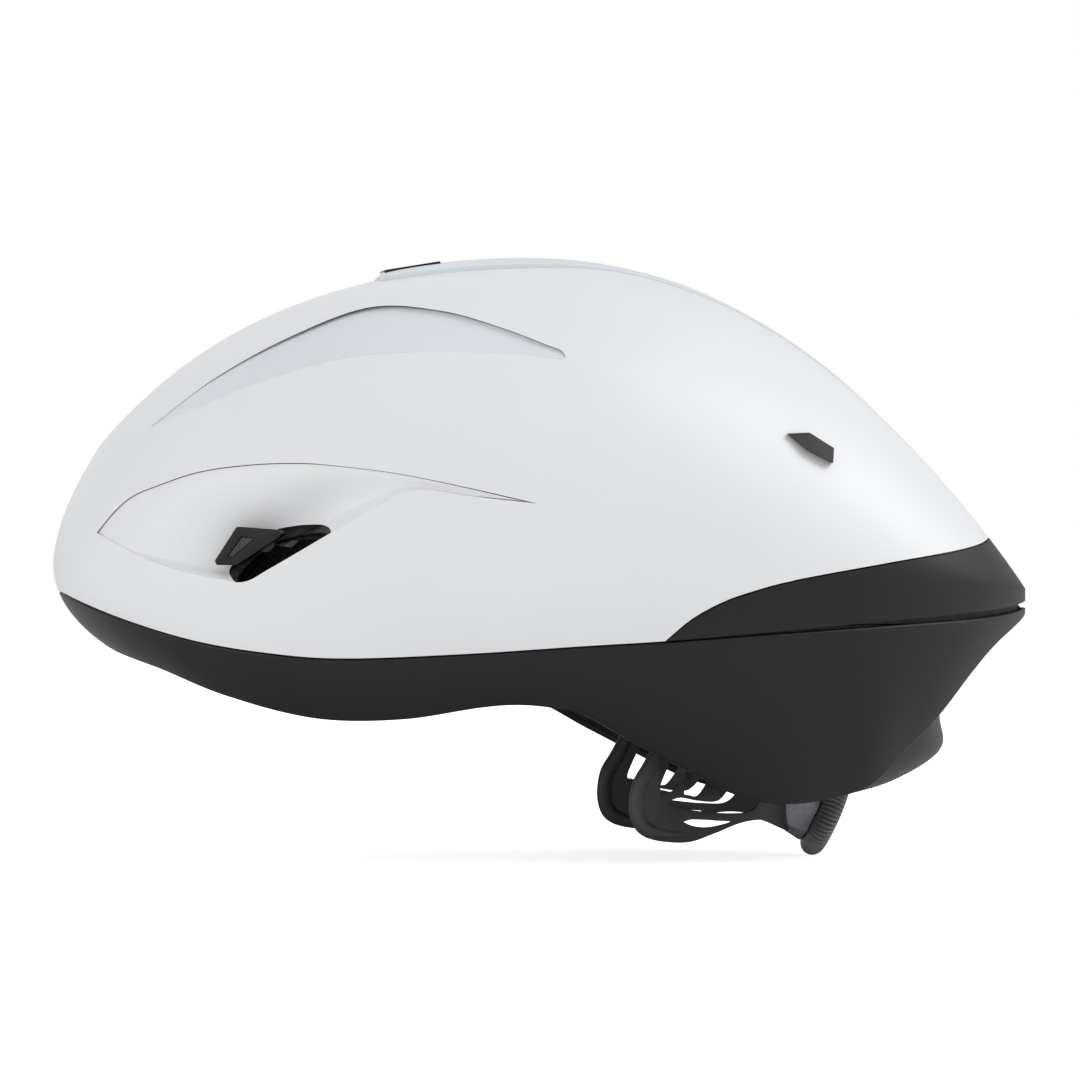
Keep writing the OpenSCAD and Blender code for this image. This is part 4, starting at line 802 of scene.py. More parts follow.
cap_line = [[0, cap_top - 1.3, 0], [HEAD_R + .2, cap_top - 1.3, 0], [HEAD_R + .4, cap_top - 1.1, 0],
            [HEAD_R + .4, cap_top - .5, 0], [HEAD_R, cap_top - .15, 0], [2.2, cap_top, 0], [0, cap_top, 0]]
cap = smooth(swept("dial_cap_turned", at_dial(np.stack([
    np.stack([r * cosd(np.linspace(0, 360, 61)), r * sind(np.linspace(0, 360, 61)), h + np.zeros(61)], axis=-1)
    for r, h, _ in cap_line]))), 30)
housing = rounded_copy("dial_housing", "dial_housing_facets", .7, 20)
axle = rounded_copy("dial_axle", "dial_axle_turned", .2, 40)
spool = rounded_copy("spool", "spool_turned", .15, 40, 2)
print("grip:", len(grip.data.polygons), "faces, housing:", len(housing.data.polygons), "faces")

# %% [markdown]
# ## Belts, lace and straps
# The belts run from the temple pins to the keepers on the cradle. The lace leaves the housing on both sides.
# The chin straps lie folded up along the wall of the head's room, as in a helmet that is put away.

# %% The wall of the head's room
def wall(a, w, gap):
    """A point on the wall: angle from the front, height above the dome's start, distance inwards."""
    radius = CAVITY_TOP - CAVITY_Z - gap
    share = np.sqrt(np.clip(1 - np.where(w > 0, w, 0)**2 / radius**2, 0, 1))
    return np.stack(np.broadcast_arrays((CAVITY_W / 2 - gap) * sind(a) * share,
                                        CAVITY_Y - (CAVITY_L / 2 - gap) * cosd(a) * share, CAVITY_Z + w), axis=-1)


def ceiling(x, y, gap):
    """A point on the ceiling above a place that is seen from above."""
    u, v = x / (CAVITY_W / 2 - gap), (y - CAVITY_Y) / (CAVITY_L / 2 - gap)
    return np.stack(np.broadcast_arrays(x, y, CAVITY_Z + (CAVITY_TOP - CAVITY_Z - gap) * np.sqrt(1 - u * u - v * v)),
                    axis=-1)


def lay_pattern(piece, rows, across):
    """Give a closed sheet a map in millimetres: along its rows, and across them."""
    layer = piece.data.uv_layers.new(name="weave")
    rows, across = np.asarray(rows, float), np.asarray(across, float)
    corner = np.empty(len(piece.data.loops), dtype=np.int32)
    piece.data.loops.foreach_get("vertex_index", corner)
    corner = corner % (len(rows) * len(across))
    spots = np.stack([across[corner % len(across)], rows[corner // len(across)]], axis=1)
    layer.data.foreach_set("uv", spots.ravel())
    return piece


# %% Chin straps
STRAP_W, STRAP_T, STRAP_GAP, BUCKLE_UP, BUCKLE_HALF = 14, 1.3, .8, 32, 18.35
dome_share = math.sqrt(1 - ((BUCKLE_UP + STRAP_W / 2) / (CAVITY_TOP - CAVITY_Z))**2)
STRAP_END = 180 - math.degrees(math.asin((BUCKLE_HALF + .3) / (CAVITY_W / 2 * dome_share)))
FRONT_LEG = [[75, -18], [79.5, -14.5], [83.5, -11], [87.5, -7.5]]
REAR_LEG = [[114, -18], [109, -14.5], [105, -11], [101, -7.5]]
CHIN_RUN = [[94, 13.5], [96, 19], [104, 25], [118, 30], [134, BUCKLE_UP], [150, BUCKLE_UP], [STRAP_END, BUCKLE_UP]]
u_strap = np.array([-1, -.96, -.88, -.5, 0, .5, .88, .96, 1])


def strap_part(name, route, count, side):
    """One run of webbing along the wall, with thinner edges and a weave map."""
    route = smooth_line(route, count)
    a, w = route[:, 0], route[:, 1]
    per = np.linalg.norm(wall(a + 1, w, 0) - wall(a, w, 0), axis=1)
    step = np.stack([np.gradient(a) * per, np.gradient(w)], axis=1)
    step /= np.linalg.norm(step, axis=1, keepdims=True)
    off = u_strap * STRAP_W / 2
    a_all = a[:, None] - step[:, 1:] * off / per[:, None]
    w_all = w[:, None] + step[:, :1] * off
    edge = .42 * np.abs(u_strap)**10
    near_face = wall(a_all, w_all, STRAP_GAP + STRAP_T - edge) * (side, 1, 1)
    far_face = wall(a_all, w_all, STRAP_GAP + edge) * (side, 1, 1)
    length = np.concatenate([[0], np.cumsum(np.linalg.norm(np.diff(near_face[:, 4], axis=0), axis=1))])
    return lay_pattern(closed_sheet(name, near_face, far_face), length, off)


straps = []
for side, word in ((1, "left"), (-1, "right")):
    parts = [strap_part("strap_run", FRONT_LEG, 12, side), strap_part("strap_run", REAR_LEG, 12, side),
             strap_part("strap_run", CHIN_RUN, 60, side)]
    strap = joined(*parts)
    strap.name = "chin_strap_" + word
    straps.append(smooth(strap, 50))
print("straps:", [len(strap.data.polygons) for strap in straps], "faces")

# %% Belts and lace
PIN_Y, PIN_Z, EYELET_R = -55, 64, BAND_W / 2 + 1
PIN_X = CAVITY_W / 2 * math.sqrt(1 - ((PIN_Y - EYELET_R - CAVITY_Y) / (CAVITY_L / 2))**2) - 2 * PLAY
EYELET_T = BAND_T + .2
BELT = np.array([[0, 0, 0], [0, 4.6, .03], [.1, 11, .135], [.33, 21, .39], [.62, 31, .68], [.9, 40, .92], [1, 47, 1]])
belt_start = np.array((PIN_X - PLAY - EYELET_T / 2, PIN_Y, PIN_Z))
bent = belt_start + np.stack([BELT[:, 0] * (BELT_X - belt_start[0]), BELT[:, 1], BELT[:, 2] * (BAND_Z - PIN_Z)], axis=1)
belt_points = np.vstack([bent, [[BELT_X, KEEPER_Y + y, BAND_Z] for y in (-26, -6, 12)]])
belts = []
for side, word in ((1, "left"), (-1, "right")):
    path = np.stack([np.interp(np.linspace(0, len(belt_points) - 1, 73), np.arange(len(belt_points)), belt_points[:, k])
                     for k in range(3)], axis=1)
    for _ in range(12):
        path[1:-1] = (path[:-2] + 2 * path[1:-1] + path[2:]) / 4
    belt = swept("belt", along(path, rounded_section(BAND_T, BAND_W, .45, 4)) * (side, 1, 1))
    disc = np.array(flat_ring(2.05, EYELET_R, -EYELET_T / 2, EYELET_T / 2, .35))
    eyelet = turned("eyelet", disc, lambda rows: (rows @ turn_matrix((0, -90, 0)).T + belt_start) * (side, 1, 1), 72)
    cut(belt, cylinder(belt_start * (side, 1, 1) - (5, 0, 0), (4, 4), 10, (0, 90, 0), 48))
    belt = joined(belt, eyelet)
    belt.name = "headband_belt_" + word
    belts.append(smooth(belt, 35))
LACE = [[72.8, 18.6], [66, 22], [57, 28], [48, 35], [38, 42], [28, 47.5], [20, 50]]
lace_r = CRADLE_R + .75
spool_mid = at_dial(np.array((0, 0, DIAL_BACK - SPOOL_L / 2)))
route = smooth_line(LACE, 60)
lace_path = np.stack([lace_r * cosd(route[:, 0]), CRADLE_Y + lace_r * sind(route[:, 0]), route[:, 1]], axis=1)
lace_way = lace_path[0] - spool_mid
lace_first = spool_mid + lace_way * (SPOOL_D / 2 + .6) / np.linalg.norm(lace_way)
lace_path = np.vstack([lace_first + (lace_path[0] - lace_first) * np.linspace(0, 1, 9)[:-1, None], lace_path])
round_section = .5 * np.stack([cosd(np.linspace(0, 360, 13)), sind(np.linspace(0, 360, 13))], axis=1)
lace = joined(*[swept("lace_run", along(lace_path, round_section) * (side, 1, 1)) for side in (1, -1)])
lace.name = "tightening_lace"
print("belts and lace:", [len(piece.data.polygons) for piece in (*belts, lace)], "faces")

# %% [markdown]
# ## The foam
# The liner is expanded foam, moulded in an upper and a lower half. It fills the room between the shells and
# the head. Air grooves run along its ceiling to the two exhaust ducts, and its outside is sunk where the
# scoops and channels lie.

# %% The foam halves
phi_foam = np.linspace(0, 180, 109)
v_foam = np.concatenate([np.linspace(0, 1, 41)**.85, np.linspace(1, 2, 13)[1:]])
FOAM_IN = INNER + .2
outside = skin(phi_foam[None, :], v_foam[:, None], FOAM_IN, FOAM_IN)
outside[-1] = under(phi_foam, 0 * phi_foam, FOAM_IN, FOAM_IN)
foam_top = mirrored(laid_grid("foam_liner_upper", outside))
foam_floor = laid_grid("foam_floor", under(phi_foam[:, None], k_under[None, ::3], FOAM_IN, FOAM_IN))
foam_top = merged(joined(foam_top, foam_floor), .03)
in_edit(foam_top, (bpy.ops.mesh.normals_make_consistent, {"inside": False}))

INTAKE_Y, INTAKE_W, INTAKE_L = -40, 25.6, 17
INTAKE_LEAN = math.degrees(math.atan2(on_top(0.0, INTAKE_Y + 5.0)[2] - on_top(0.0, INTAKE_Y - 5.0)[2], 10))
intake_at = on_top(0.0, float(INTAKE_Y), -COVER_H) + turn_matrix((INTAKE_LEAN, 0, 0)) @ (0, 0, -3)
for piece in (upper, cover):
    cut(piece, block(intake_at, (INTAKE_W + SEAM, INTAKE_L + SEAM, 12), (INTAKE_LEAN, 0, 0)))
    smooth(piece, 40)

groove_room = ellipsoid(8)
groove_bars = [block((x, CAVITY_Y + 3, 190), (13, 150, 172)) for x in (-34, 0, 34)]
bars = joined(*groove_bars)
cut(groove_room, bars, operation="INTERSECT")
cut(foam_top, ellipsoid(0), cylinder((0, CAVITY_Y, -10), (CAVITY_W / 2, CAVITY_L / 2), CAVITY_Z + 10.01),
    *nape_cutters(-20), *duct_cutters(1), groove_room)
INLET_AT, INLET_DROP = (-78.1, 98.6), 6
for side in (1, -1):
    for top, low, depth in ((SCOOP_TOP, SCOOP_LOW, scoop_depth), (CHANNEL_TOP, CHANNEL_LOW, channel_depth)):
        over = panel_rows(top, low, 40, 12, -1, lambda s, t: -4 + 0 * s)
        bed = panel_rows(top, low, 40, 12, -1, lambda s, t, d=depth: d(s, t) + 2.6)
        cut(foam_top, closed_sheet("bed", over * (side, 1, 1), bed * (side, 1, 1)))
    inlet = prism(smooth_loop(SCOOP_HOLE, 3), 40 * side, 110 * side)
    spots = co_of(inlet)
    inner = np.abs(spots[:, :1]) < 60
    moved = np.array(INLET_AT) + (spots[:, 1:] - INLET_AT) * np.where(inner, .72, 1.04) - inner * (0, INLET_DROP)
    put_co(inlet, np.hstack([spots[:, :1], moved]))
    seats = [cylinder((side * PIN_X - 6, PIN_Y, PIN_Z), (6.3, 6.3), 12.3, (0, 90, 0), 48)]
    for a, w in (FRONT_LEG[0], REAR_LEG[0]):
        seats.append(block(wall(a, w - 7, -2.1) * (side, 1, 1), (5.6, STRAP_W + 4.6, 6.6), (0, 0, side * (a - 90))))
    cut(foam_top, inlet, *seats)
cut(foam_top, block((0, INTAKE_Y, 170), (26, 17.6, 60), (4, 0, 0)))
only(foam_top)
bpy.ops.object.duplicate()
foam_low = named("foam_liner_lower")
SPLIT_Z = 72
in_edit(foam_top, (bpy.ops.mesh.bisect, {"plane_co": (0, 0, (SPLIT_Z + .3) * MM), "plane_no": (0, 0, 1),
                                         "use_fill": True, "clear_inner": True}))
in_edit(foam_low, (bpy.ops.mesh.bisect, {"plane_co": (0, 0, SPLIT_Z * MM), "plane_no": (0, 0, 1),
                                         "use_fill": True, "clear_outer": True}))
for half_piece in (foam_top, foam_low):
    smooth(half_piece, 35)
print("foam:", len(foam_top.data.polygons), "and", len(foam_low.data.polygons), "faces")

# %% [markdown]
# ## Pads
# The comfort pads are knitted covers over soft foam. Each is a crowned closed form with rounded corners: its
# face swells between its edges, a seam runs round it, and its back is a flat hook-and-loop face on the liner.

# %% Pads
PAD_BACK, PAD_EDGE = .8, 1.5


def pad(name, place, size, thick, side=1):
    """A crowned pad: place gives points for two shares from -1 to 1 and a distance off the wall."""
    lines = [np.sin(np.linspace(-1, 1, max(40, int(2 * half))) * math.pi / 2) for half in size]
    s, t = np.meshgrid(*lines, indexing="ij")
    corner = 5
    bend = (np.abs(s)**corner + np.abs(t)**corner)**(1 / corner)
    reach = np.maximum(np.abs(s), np.abs(t)) / np.maximum(bend, 1e-6)
    off_edge = np.minimum((1 - np.abs(s)) * size[0], (1 - np.abs(t)) * size[1])
    swell = 1 - np.exp(-off_edge / 3.2)
    seam = .55 * np.exp(-((off_edge - 3.2) / .6)**2)
    pucker = .12 * np.sin((s * size[0] + t * size[1]) * 2) * np.exp(-((off_edge - 3.2) / 1.4)**2)
    crown = PAD_BACK + PAD_EDGE * (1 - np.exp(-off_edge / .5)) + (thick - PAD_EDGE - .4) * swell - seam + pucker
    front = place(s * reach, t * reach, crown) * (side, 1, 1)
    flat = place(s * reach, t * reach, PAD_BACK + 0 * crown) * (side, 1, 1)
    piece = closed_sheet(name, front, flat)
    merged(piece, .03)
    in_edit(piece, (bpy.ops.mesh.normals_make_consistent, {"inside": False}))
    return smooth(piece, 60)


def on_wall(a0, a1, w0, w1):
    """Places of a pad on the wall between two angles and two heights."""
    return lambda s, t, gap: wall(a0 + (a1 - a0) * (s + 1) / 2, w0 + (w1 - w0) * (t + 1) / 2, gap)


def on_ceiling(x0, x1, y0, y1):
    """Places of a pad on the ceiling between two widths and two lengths."""
    return lambda s, t, gap: ceiling(x0 + (x1 - x0) * (t + 1) / 2, y0 + (y1 - y0) * (s + 1) / 2, gap)


brow = pad("brow_pad_knit", on_wall(-60, 60, -9, 19), (95, 14), 7)
crown_pads = joined(*[pad("crown_pad_knit", on_ceiling(8.5, 25.5, CAVITY_Y - .32 * CAVITY_L, CAVITY_Y + .28 * CAVITY_L),
                          (62, 8.5), 6, side) for side in (1, -1)])
side_pads = [pad("side_pad_knit_" + word, on_wall(66, 88, 20, 46), (16, 13), 6, side)
             for side, word in ((1, "left"), (-1, "right"))]
nape_pads = [pad("nape_pad_knit_" + word, on_wall(126, 152, -10, 18), (21, 14), 6, side)
             for side, word in ((1, "left"), (-1, "right"))]
print("pads:", [len(piece.data.polygons) for piece in (brow, crown_pads, *side_pads, *nape_pads)], "faces")

# %% [markdown]
# ## Small moulded parts
# Docks, their pads, anchors, dividers and buckles keep their shape from the CAD. A copy of each gets flat
# faces and rounded edges, as a moulded part has, so that the edges catch the light.

# %% Moulded parts with rounded edges
ROUNDED = {"dock": .35, "dock_pad": .2, "rear_dock": .45, "temple_anchor": .3, "strap_divider": .4}
moulded = [(rounded_copy(f"{kind}_{word}", f"{kind}_{word}_moulded", radius), f"{kind}_{word}")
           for kind, radius in ROUNDED.items() for word in ("left", "right")]
moulded += [(rounded_copy(kind, kind + "_moulded", radius), kind)
            for kind, radius in {"buckle_male": .4, "buckle_female": .5, "strap_anchors": .4, "crown_intake": .12}.items()]
print(len(moulded), "moulded parts")

# %% [markdown]
# A boolean can leave a folded sliver: two small faces back to back that hang on an edge of the mesh. In a mesh
# of triangles its tip is a point with only two edges, so such points are deleted until none is left.

# %% Folded slivers
def without_slivers(piece):
    """Cut a mesh into triangles and delete the tips of its folded slivers."""
    modified(piece, "TRIANGULATE", ngon_method="CLIP")
    count = 0
    while True:
        ends = np.empty(len(piece.data.edges) * 2, dtype=np.int32)
        piece.data.edges.foreach_get("vertices", ends)
        tips = np.bincount(ends, minlength=len(piece.data.vertices)) < 3
        if not tips.any():
            return count
        count += int(tips.sum())
        only(piece)
        bpy.ops.object.mode_set(mode="EDIT")
        bpy.ops.mesh.select_mode(type="VERT")
        bpy.ops.mesh.select_all(action="DESELECT")
        bpy.ops.object.mode_set(mode="OBJECT")
        piece.data.vertices.foreach_set("select", tips)
        bpy.ops.object.mode_set(mode="EDIT")
        bpy.ops.mesh.delete(type="VERT")
        bpy.ops.object.mode_set(mode="OBJECT")


for piece in (upper, scoop, scoop_right, base_cover, foam_top, foam_low, *side_pads, *nape_pads):
    print(piece.name, "tips deleted:", without_slivers(piece))

# %% [markdown]
# ## Materials
# Each finish is a Principled surface with values that are typical for it, and a pattern whose scale is a
# real size in millimetres. Colours are written as the hex values that a colour picker shows.

# %% Helpers for materials
def linear(hex_colour):
    """A hex sRGB colour as linear values."""
    values = [int(hex_colour[k:k + 2], 16) / 255 for k in (1, 3, 5)]
    return [v / 12.92 if v <= .04045 else ((v + .055) / 1.055)**2.4 for v in values] + [1]


def add_node(tree, kind, settings=None, **links):
    """Add a node, set its properties and sockets, and link sockets to outputs."""
    node = tree.nodes.new(kind)
    for key, value in (settings or {}).items():
        if key in node.inputs:
            node.inputs[key].default_value = value
        else:
            setattr(node, key, value)
    for key, output in links.items():
        tree.links.new(output, node.inputs[key.replace("_", " ")])
    return node


def surface(name, colour, roughness, **sockets):
    """A new material with a Principled surface. Returns the material, its tree and the surface node."""
    made = bpy.data.materials.new(name)
    made.use_nodes = True
    shade = made.node_tree.nodes["Principled BSDF"]
    shade.inputs["Base Color"].default_value = linear(colour)
    shade.inputs["Roughness"].default_value = roughness
    for key, value in sockets.items():
        shade.inputs[key.replace("_", " ")].default_value = value
    return made, made.node_tree, shade


def grained(name, colour, other, roughness, size_mm, depth, spread=.06, strength=.3, speckled=False, **sockets):
    """A moulded or painted finish: a fine grain of a real size that varies colour, gloss and height."""
    made, tree, shade = surface(name, colour, roughness, **sockets)
    place = add_node(tree, "ShaderNodeTexCoord").outputs["Object"]
    grain = add_node(tree, "ShaderNodeTexNoise", {"Scale": 1 / (size_mm * MM), "Detail": 3.0}, Vector=place)
    broad = add_node(tree, "ShaderNodeTexNoise", {"Scale": 1 / (60 * MM), "Detail": 2.0}, Vector=place)
    tinted(tree, shade, colour, other, (grain if speckled else broad).outputs["Fac"])
    gloss = add_node(tree, "ShaderNodeMapRange", {"To Min": roughness - spread, "To Max": roughness + spread},
                     Value=grain.outputs["Fac"])
    tree.links.new(gloss.outputs["Result"], shade.inputs["Roughness"])
    raised_by(tree, shade, grain.outputs["Fac"], depth, strength)
    return made


def tinted(tree, shade, colour, other, share):
    """Mix two colours by a pattern, from its darker to its lighter parts."""
    tint = add_node(tree, "ShaderNodeMix", {"data_type": "RGBA"})
    tint.inputs[6].default_value = linear(colour)
    tint.inputs[7].default_value = linear(other)
    spread = add_node(tree, "ShaderNodeMapRange", {"From Min": .35, "From Max": .65}, Value=share)
    tree.links.new(spread.outputs["Result"], tint.inputs[0])
    tree.links.new(tint.outputs[2], shade.inputs["Base Color"])


def raised_by(tree, shade, height, depth, strength):
    """Let a pattern raise the surface by a depth in millimetres."""
    bump = add_node(tree, "ShaderNodeBump", {"Strength": strength, "Distance": depth * MM}, Height=height)
    tree.links.new(bump.outputs["Normal"], shade.inputs["Normal"])


def celled(name, colour, other, roughness, size_mm, depth, strength, **sockets):
    """A surface of small round cells, such as foam beads or a mesh knit."""
    made, tree, shade = surface(name, colour, roughness, **sockets)
    place = add_node(tree, "ShaderNodeTexCoord").outputs["Object"]
    cells = add_node(tree, "ShaderNodeTexVoronoi", {"Scale": 1 / (size_mm * MM)}, Vector=place)
    tinted(tree, shade, colour, other, cells.outputs["Distance"])
    turned_over = add_node(tree, "ShaderNodeMath", {"operation": "MULTIPLY"})
    turned_over.inputs[1].default_value = -1
    tree.links.new(cells.outputs["Distance"], turned_over.inputs[0])
    raised_by(tree, shade, turned_over.outputs["Value"], depth, strength)
    return made


def woven(name, colour, other, roughness, yarn_mm, depth, **sockets):
    """Woven webbing: yarns along and across, on a map in millimetres."""
    made, tree, shade = surface(name, colour, roughness, **sockets)
    place = add_node(tree, "ShaderNodeUVMap", {"uv_map": "weave"}).outputs["UV"]
    scale = 2 * math.pi / (20 * yarn_mm)
    waves = [add_node(tree, "ShaderNodeTexWave", {"bands_direction": way, "Scale": scale}, Vector=place)
             for way in ("X", "Y")]
    both = add_node(tree, "ShaderNodeMath", {"operation": "MULTIPLY"})
    for k in (0, 1):
        tree.links.new(waves[k].outputs["Fac"], both.inputs[k])
    tinted(tree, shade, colour, other, both.outputs["Value"])
    raised_by(tree, shade, both.outputs["Value"], depth, .8)
    return made


def dress(pieces, material):
    """Give pieces or CAD nodes one material."""
    for piece in pieces:
        piece.data.materials.clear()
        piece.data.materials.append(material)


# %% The finishes
white_paint = grained("satin_white_paint", "#F3F3F2", "#F1F1F1", .42, .5, .004, strength=.15, IOR=1.5)
cool_paint = grained("satin_cool_white_paint", "#E9EDF0", "#E6EAED", .42, .5, .004, strength=.15, IOR=1.5)
dark_moulding = grained("satin_black_polycarbonate", "#060607", "#050505", .48, .25, .01, strength=.3, IOR=1.47)
nylon = grained("textured_nylon", "#343435", "#2E2E2F", .5, .3, .03, strength=.5, IOR=1.53)
# The rolled cradle edge is the same nylon painted paler: a painted highlight where the roll catches the light.
highlight_nylon = grained("rolled_nylon_edge_painted_highlight", "#454546", "#3D3D3E", .5, .3, .03, strength=.4, IOR=1.53)
housing_nylon = grained("speckled_nylon", "#8A8A8C", "#BEBEC2", .55, .35, .03, strength=.6, speckled=True, IOR=1.53)
dial_rubber = grained("ribbed_dial_rubber", "#8E8E90", "#828284", .3, .3, .02, strength=.3, IOR=1.52)
dock_nylon = grained("matt_black_nylon", "#060607", "#050505", .5, .3, .02, strength=.4, IOR=1.44)
rubber = grained("matt_rubber", "#1C1C1D", "#4C4C4F", .65, .4, .03, strength=.6, speckled=True, IOR=1.52)
foam = celled("black_expanded_foam", "#1D1D1E", "#2B2B2C", .7, 3.2, .5, .6, IOR=1.55)
knit = celled("mesh_knit", "#1E1E21", "#3C3C41", .9, 1.1, .4, .8, IOR=1.45, Sheen_Weight=.3)
webbing = woven("woven_polyester", "#1A1A1D", "#343438", .75, .9, .15, IOR=1.5)
cord = grained("braided_cord", "#2E2E30", "#57575A", .6, .5, .1, strength=.8, speckled=True, IOR=1.5)
steel = grained("turned_steel", "#A9A9AA", "#9C9C9D", .35, .2, .005, Metallic=1.0)

dress([upper, scoop, scoop_right], white_paint)
dress([cover, channel, channel_right], cool_paint)
dress([lower, tail, base_cover], dark_moulding)
dress([foam_top, foam_low], foam)
dress([cradle, *belts], nylon)
dress([housing], housing_nylon)
dress([rolled_edge], highlight_nylon)
dress([grip], dial_rubber)
dress([knob, cap], dock_nylon)
dress([axle], steel)
dress([spool], nylon)
dress([lace], cord)
dress(straps, webbing)
dress([brow, crown_pads, *side_pads, *nape_pads], knit)
FINISH = {"white_shell": white_paint, "cool_white_panel": cool_paint, "dark_shell": dark_moulding, "foam": foam,
          "pad_fabric": knit, "soft_rubber": rubber, "steel": steel, "webbing": webbing, "harness_plastic": nylon}
for part in frame["record"]["subparts"]:
    finish = FINISH[part["material_slot"]]
    if part["node"].startswith(("dock_l", "dock_r", "rear_dock", "crown_intake")):
        finish = dock_nylon
    if part["node"].startswith("dock_magnet"):
        finish = dock_nylon
    dress([NODES[part["node"]], *[piece for piece, node in moulded if node == part["node"]]], finish)

# %% [markdown]
# ## Bodies
# Each new piece rides on the body that carries it and stands for the CAD node that it replaces.

# %% Riding and replacing
WORN = [(upper, "upper_shell", "white_shell"), (lower, "lower_shell", "dark_shell"), (tail, "tail_panel", "dark_shell"),
        (scoop, "scoop_left", "white_shell"), (scoop_right, "scoop_right", "white_shell"),
        (channel, "channel_left", "cool_white_panel"), (channel_right, "channel_right", "cool_white_panel"),
        (cover, "crown_cover", "cool_white_panel"), (base_cover, "base_cover", "dark_shell"),
        (foam_top, "upper_liner", "foam"), (foam_low, "lower_liner", "foam"), (cradle, "cradle", "harness_plastic"),
        (housing, "dial_housing", "harness_plastic"), (axle, "dial_axle", "steel"),
        (knob, "dial_knob", "harness_plastic"), (grip, "dial_grip", "soft_rubber"),
        (cap, "dial_cap", "harness_plastic"), (spool, "spool", "harness_plastic"), (lace, "lace", "webbing"),
        (belts[0], "headband_left", "harness_plastic"), (belts[1], "headband_right", "harness_plastic"),
        (straps[0], "strap_left", "webbing"), (straps[1], "strap_right", "webbing"), (brow, "brow_pad", "pad_fabric"),
        (crown_pads, "crown_pad", "pad_fabric"), (side_pads[0], "side_pad_left", "pad_fabric"),
        (side_pads[1], "side_pad_right", "pad_fabric"), (nape_pads[0], "nape_pad_left", "pad_fabric"),
        (nape_pads[1], "nape_pad_right", "pad_fabric")]
slot_of = {part["node"]: part["material_slot"] for part in frame["record"]["subparts"]}
WORN += [(piece, node, slot_of[node]) for piece, node in moulded]
body_of = {node: body for body, nodes in frame["record"]["behaviour"]["bodies"].items() for node in nodes}
for piece, node, slot in WORN:
    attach(piece, body_of[node])
    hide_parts(node)
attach(rolled_edge, "cradle")

# %% [markdown]
# ## Floor, light and camera
# The photograph is a studio picture on white, taken level with the helmet from its left side through a long
# lens. Large soft lights come from both sides of the camera and from above. The floor shows only from above,
# so that the inside can be looked at from below.

# %% Stage
bpy.ops.object.select_all(action="DESELECT")
bpy.ops.mesh.primitive_circle_add(vertices=96, radius=4, fill_type="NGON")
floor = named("studio_floor")
floor_paint, tree, shade = surface("studio_floor", "#F4F4F4", .8)
camera_ray = add_node(tree, "ShaderNodeLightPath")
glow = add_node(tree, "ShaderNodeEmission", {"Color": (1, 1, 1, 1), "Strength": .8})
both = add_node(tree, "ShaderNodeAddShader")
tree.links.new(shade.outputs["BSDF"], both.inputs[0])
tree.links.new(glow.outputs["Emission"], both.inputs[1])
pick = add_node(tree, "ShaderNodeMixShader", Fac=camera_ray.outputs["Is Camera Ray"])
tree.links.new(shade.outputs["BSDF"], pick.inputs[1])
tree.links.new(both.outputs["Shader"], pick.inputs[2])
below = add_node(tree, "ShaderNodeMixShader", Fac=add_node(tree, "ShaderNodeNewGeometry").outputs["Backfacing"])
tree.links.new(pick.outputs["Shader"], below.inputs[1])
tree.links.new(add_node(tree, "ShaderNodeBsdfTransparent").outputs["BSDF"], below.inputs[2])
tree.links.new(below.outputs["Shader"], tree.nodes["Material Output"].inputs["Surface"])
floor.data.materials.append(floor_paint)

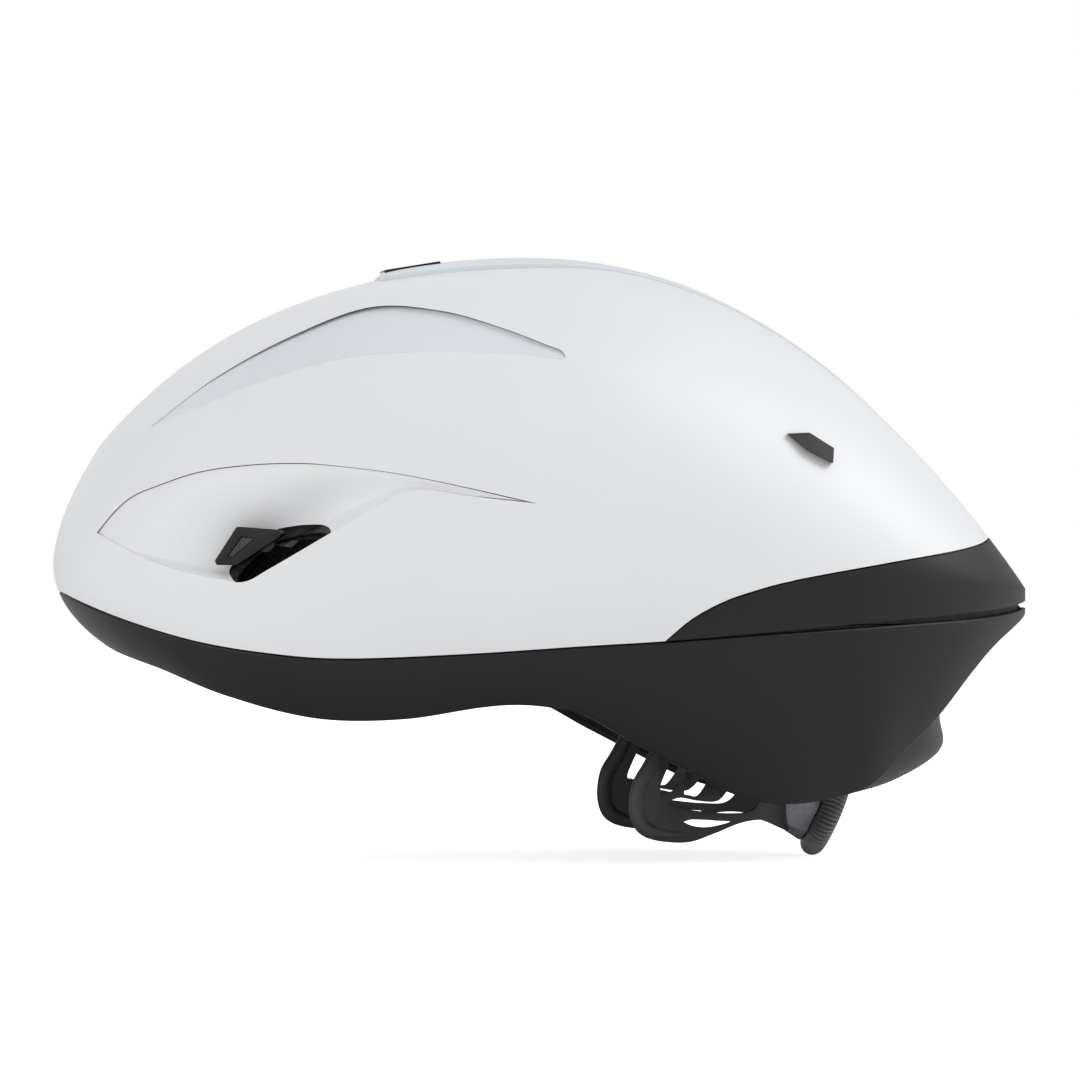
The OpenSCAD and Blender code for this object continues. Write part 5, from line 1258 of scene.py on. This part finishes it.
world = bpy.context.scene.world or bpy.data.worlds.new("studio")
bpy.context.scene.world = world
world.use_nodes = True
tree = world.node_tree
tree.nodes.clear()
rays = add_node(tree, "ShaderNodeLightPath")
seen = add_node(tree, "ShaderNodeMath", {"operation": "MAXIMUM"})
tree.links.new(rays.outputs["Is Camera Ray"], seen.inputs[0])
tree.links.new(rays.outputs["Is Transmission Ray"], seen.inputs[1])
fill = add_node(tree, "ShaderNodeBackground", {"Color": (.95, .965, 1, 1), "Strength": .57})
white = add_node(tree, "ShaderNodeBackground", {"Color": (1, 1, 1, 1), "Strength": 1.0})
pick = add_node(tree, "ShaderNodeMixShader", Fac=seen.outputs["Value"])
tree.links.new(fill.outputs["Background"], pick.inputs[1])
tree.links.new(white.outputs["Background"], pick.inputs[2])
out = add_node(tree, "ShaderNodeOutputWorld")
tree.links.new(pick.outputs["Shader"], out.inputs["Surface"])
bpy.context.scene.view_settings.view_transform = "Standard"


def softbox(name, place, aim, size, power, colour=(1, 1, 1)):
    """A square area light at a place in metres, aimed at a point."""
    bpy.ops.object.select_all(action="DESELECT")
    bpy.ops.object.light_add(type="AREA", location=place)
    lamp = bpy.context.object
    lamp.name = name
    lamp.data.size = size
    lamp.data.energy = power
    lamp.data.color = colour
    towards = np.array(aim) - np.array(place)
    lamp.rotation_euler = (math.acos(-towards[2] / np.linalg.norm(towards)), 0,
                           math.atan2(towards[1], towards[0]) - math.pi / 2)
    return lamp


LAMPS = {
    "side_softbox": ((2.3, -.3, .5), 1.6, 4, (1, 1, 1)),
    "front_softbox": ((1.2, -2.3, .8), 1.6, 12.5, (1, 1, 1)),
    "rear_softbox": ((-.2, 2.4, 1.5), 1.4, 17, (.97, .98, 1)),
    "tail_softbox": ((.4, 1.5, 2.0), 1.4, 13, (1, 1, 1)),
    "far_softbox": ((-2, -.6, 1.0), 1.6, 3, (1, 1, 1)),
}
for lamp_name, (place, size, power, colour) in LAMPS.items():
    softbox(lamp_name, place, (0, 0, .1), size, power, colour)

# %% Camera
CAMERA_AWAY, CAMERA_TURN, CAMERA_RISE = 2.6, 85.3, .3
AIM_Z = .0971
PIXEL = .3074 * MM
turn, rise_angle = math.radians(CAMERA_TURN), math.radians(CAMERA_RISE)
back = np.array([math.sin(turn) * math.cos(rise_angle), -math.cos(turn) * math.cos(rise_angle), math.sin(rise_angle)])
bpy.ops.object.camera_add(location=tuple(back * CAMERA_AWAY + np.array([0, 0, AIM_Z])))
camera = bpy.context.object
camera.rotation_euler = (math.pi / 2 - rise_angle, 0, turn)
camera.data.sensor_width = 36
camera.data.lens = 36 * (CAMERA_AWAY / PIXEL) / 1080
camera.data.dof.use_dof = False
bpy.context.scene.camera = camera
print("lens:", round(camera.data.lens), "mm")
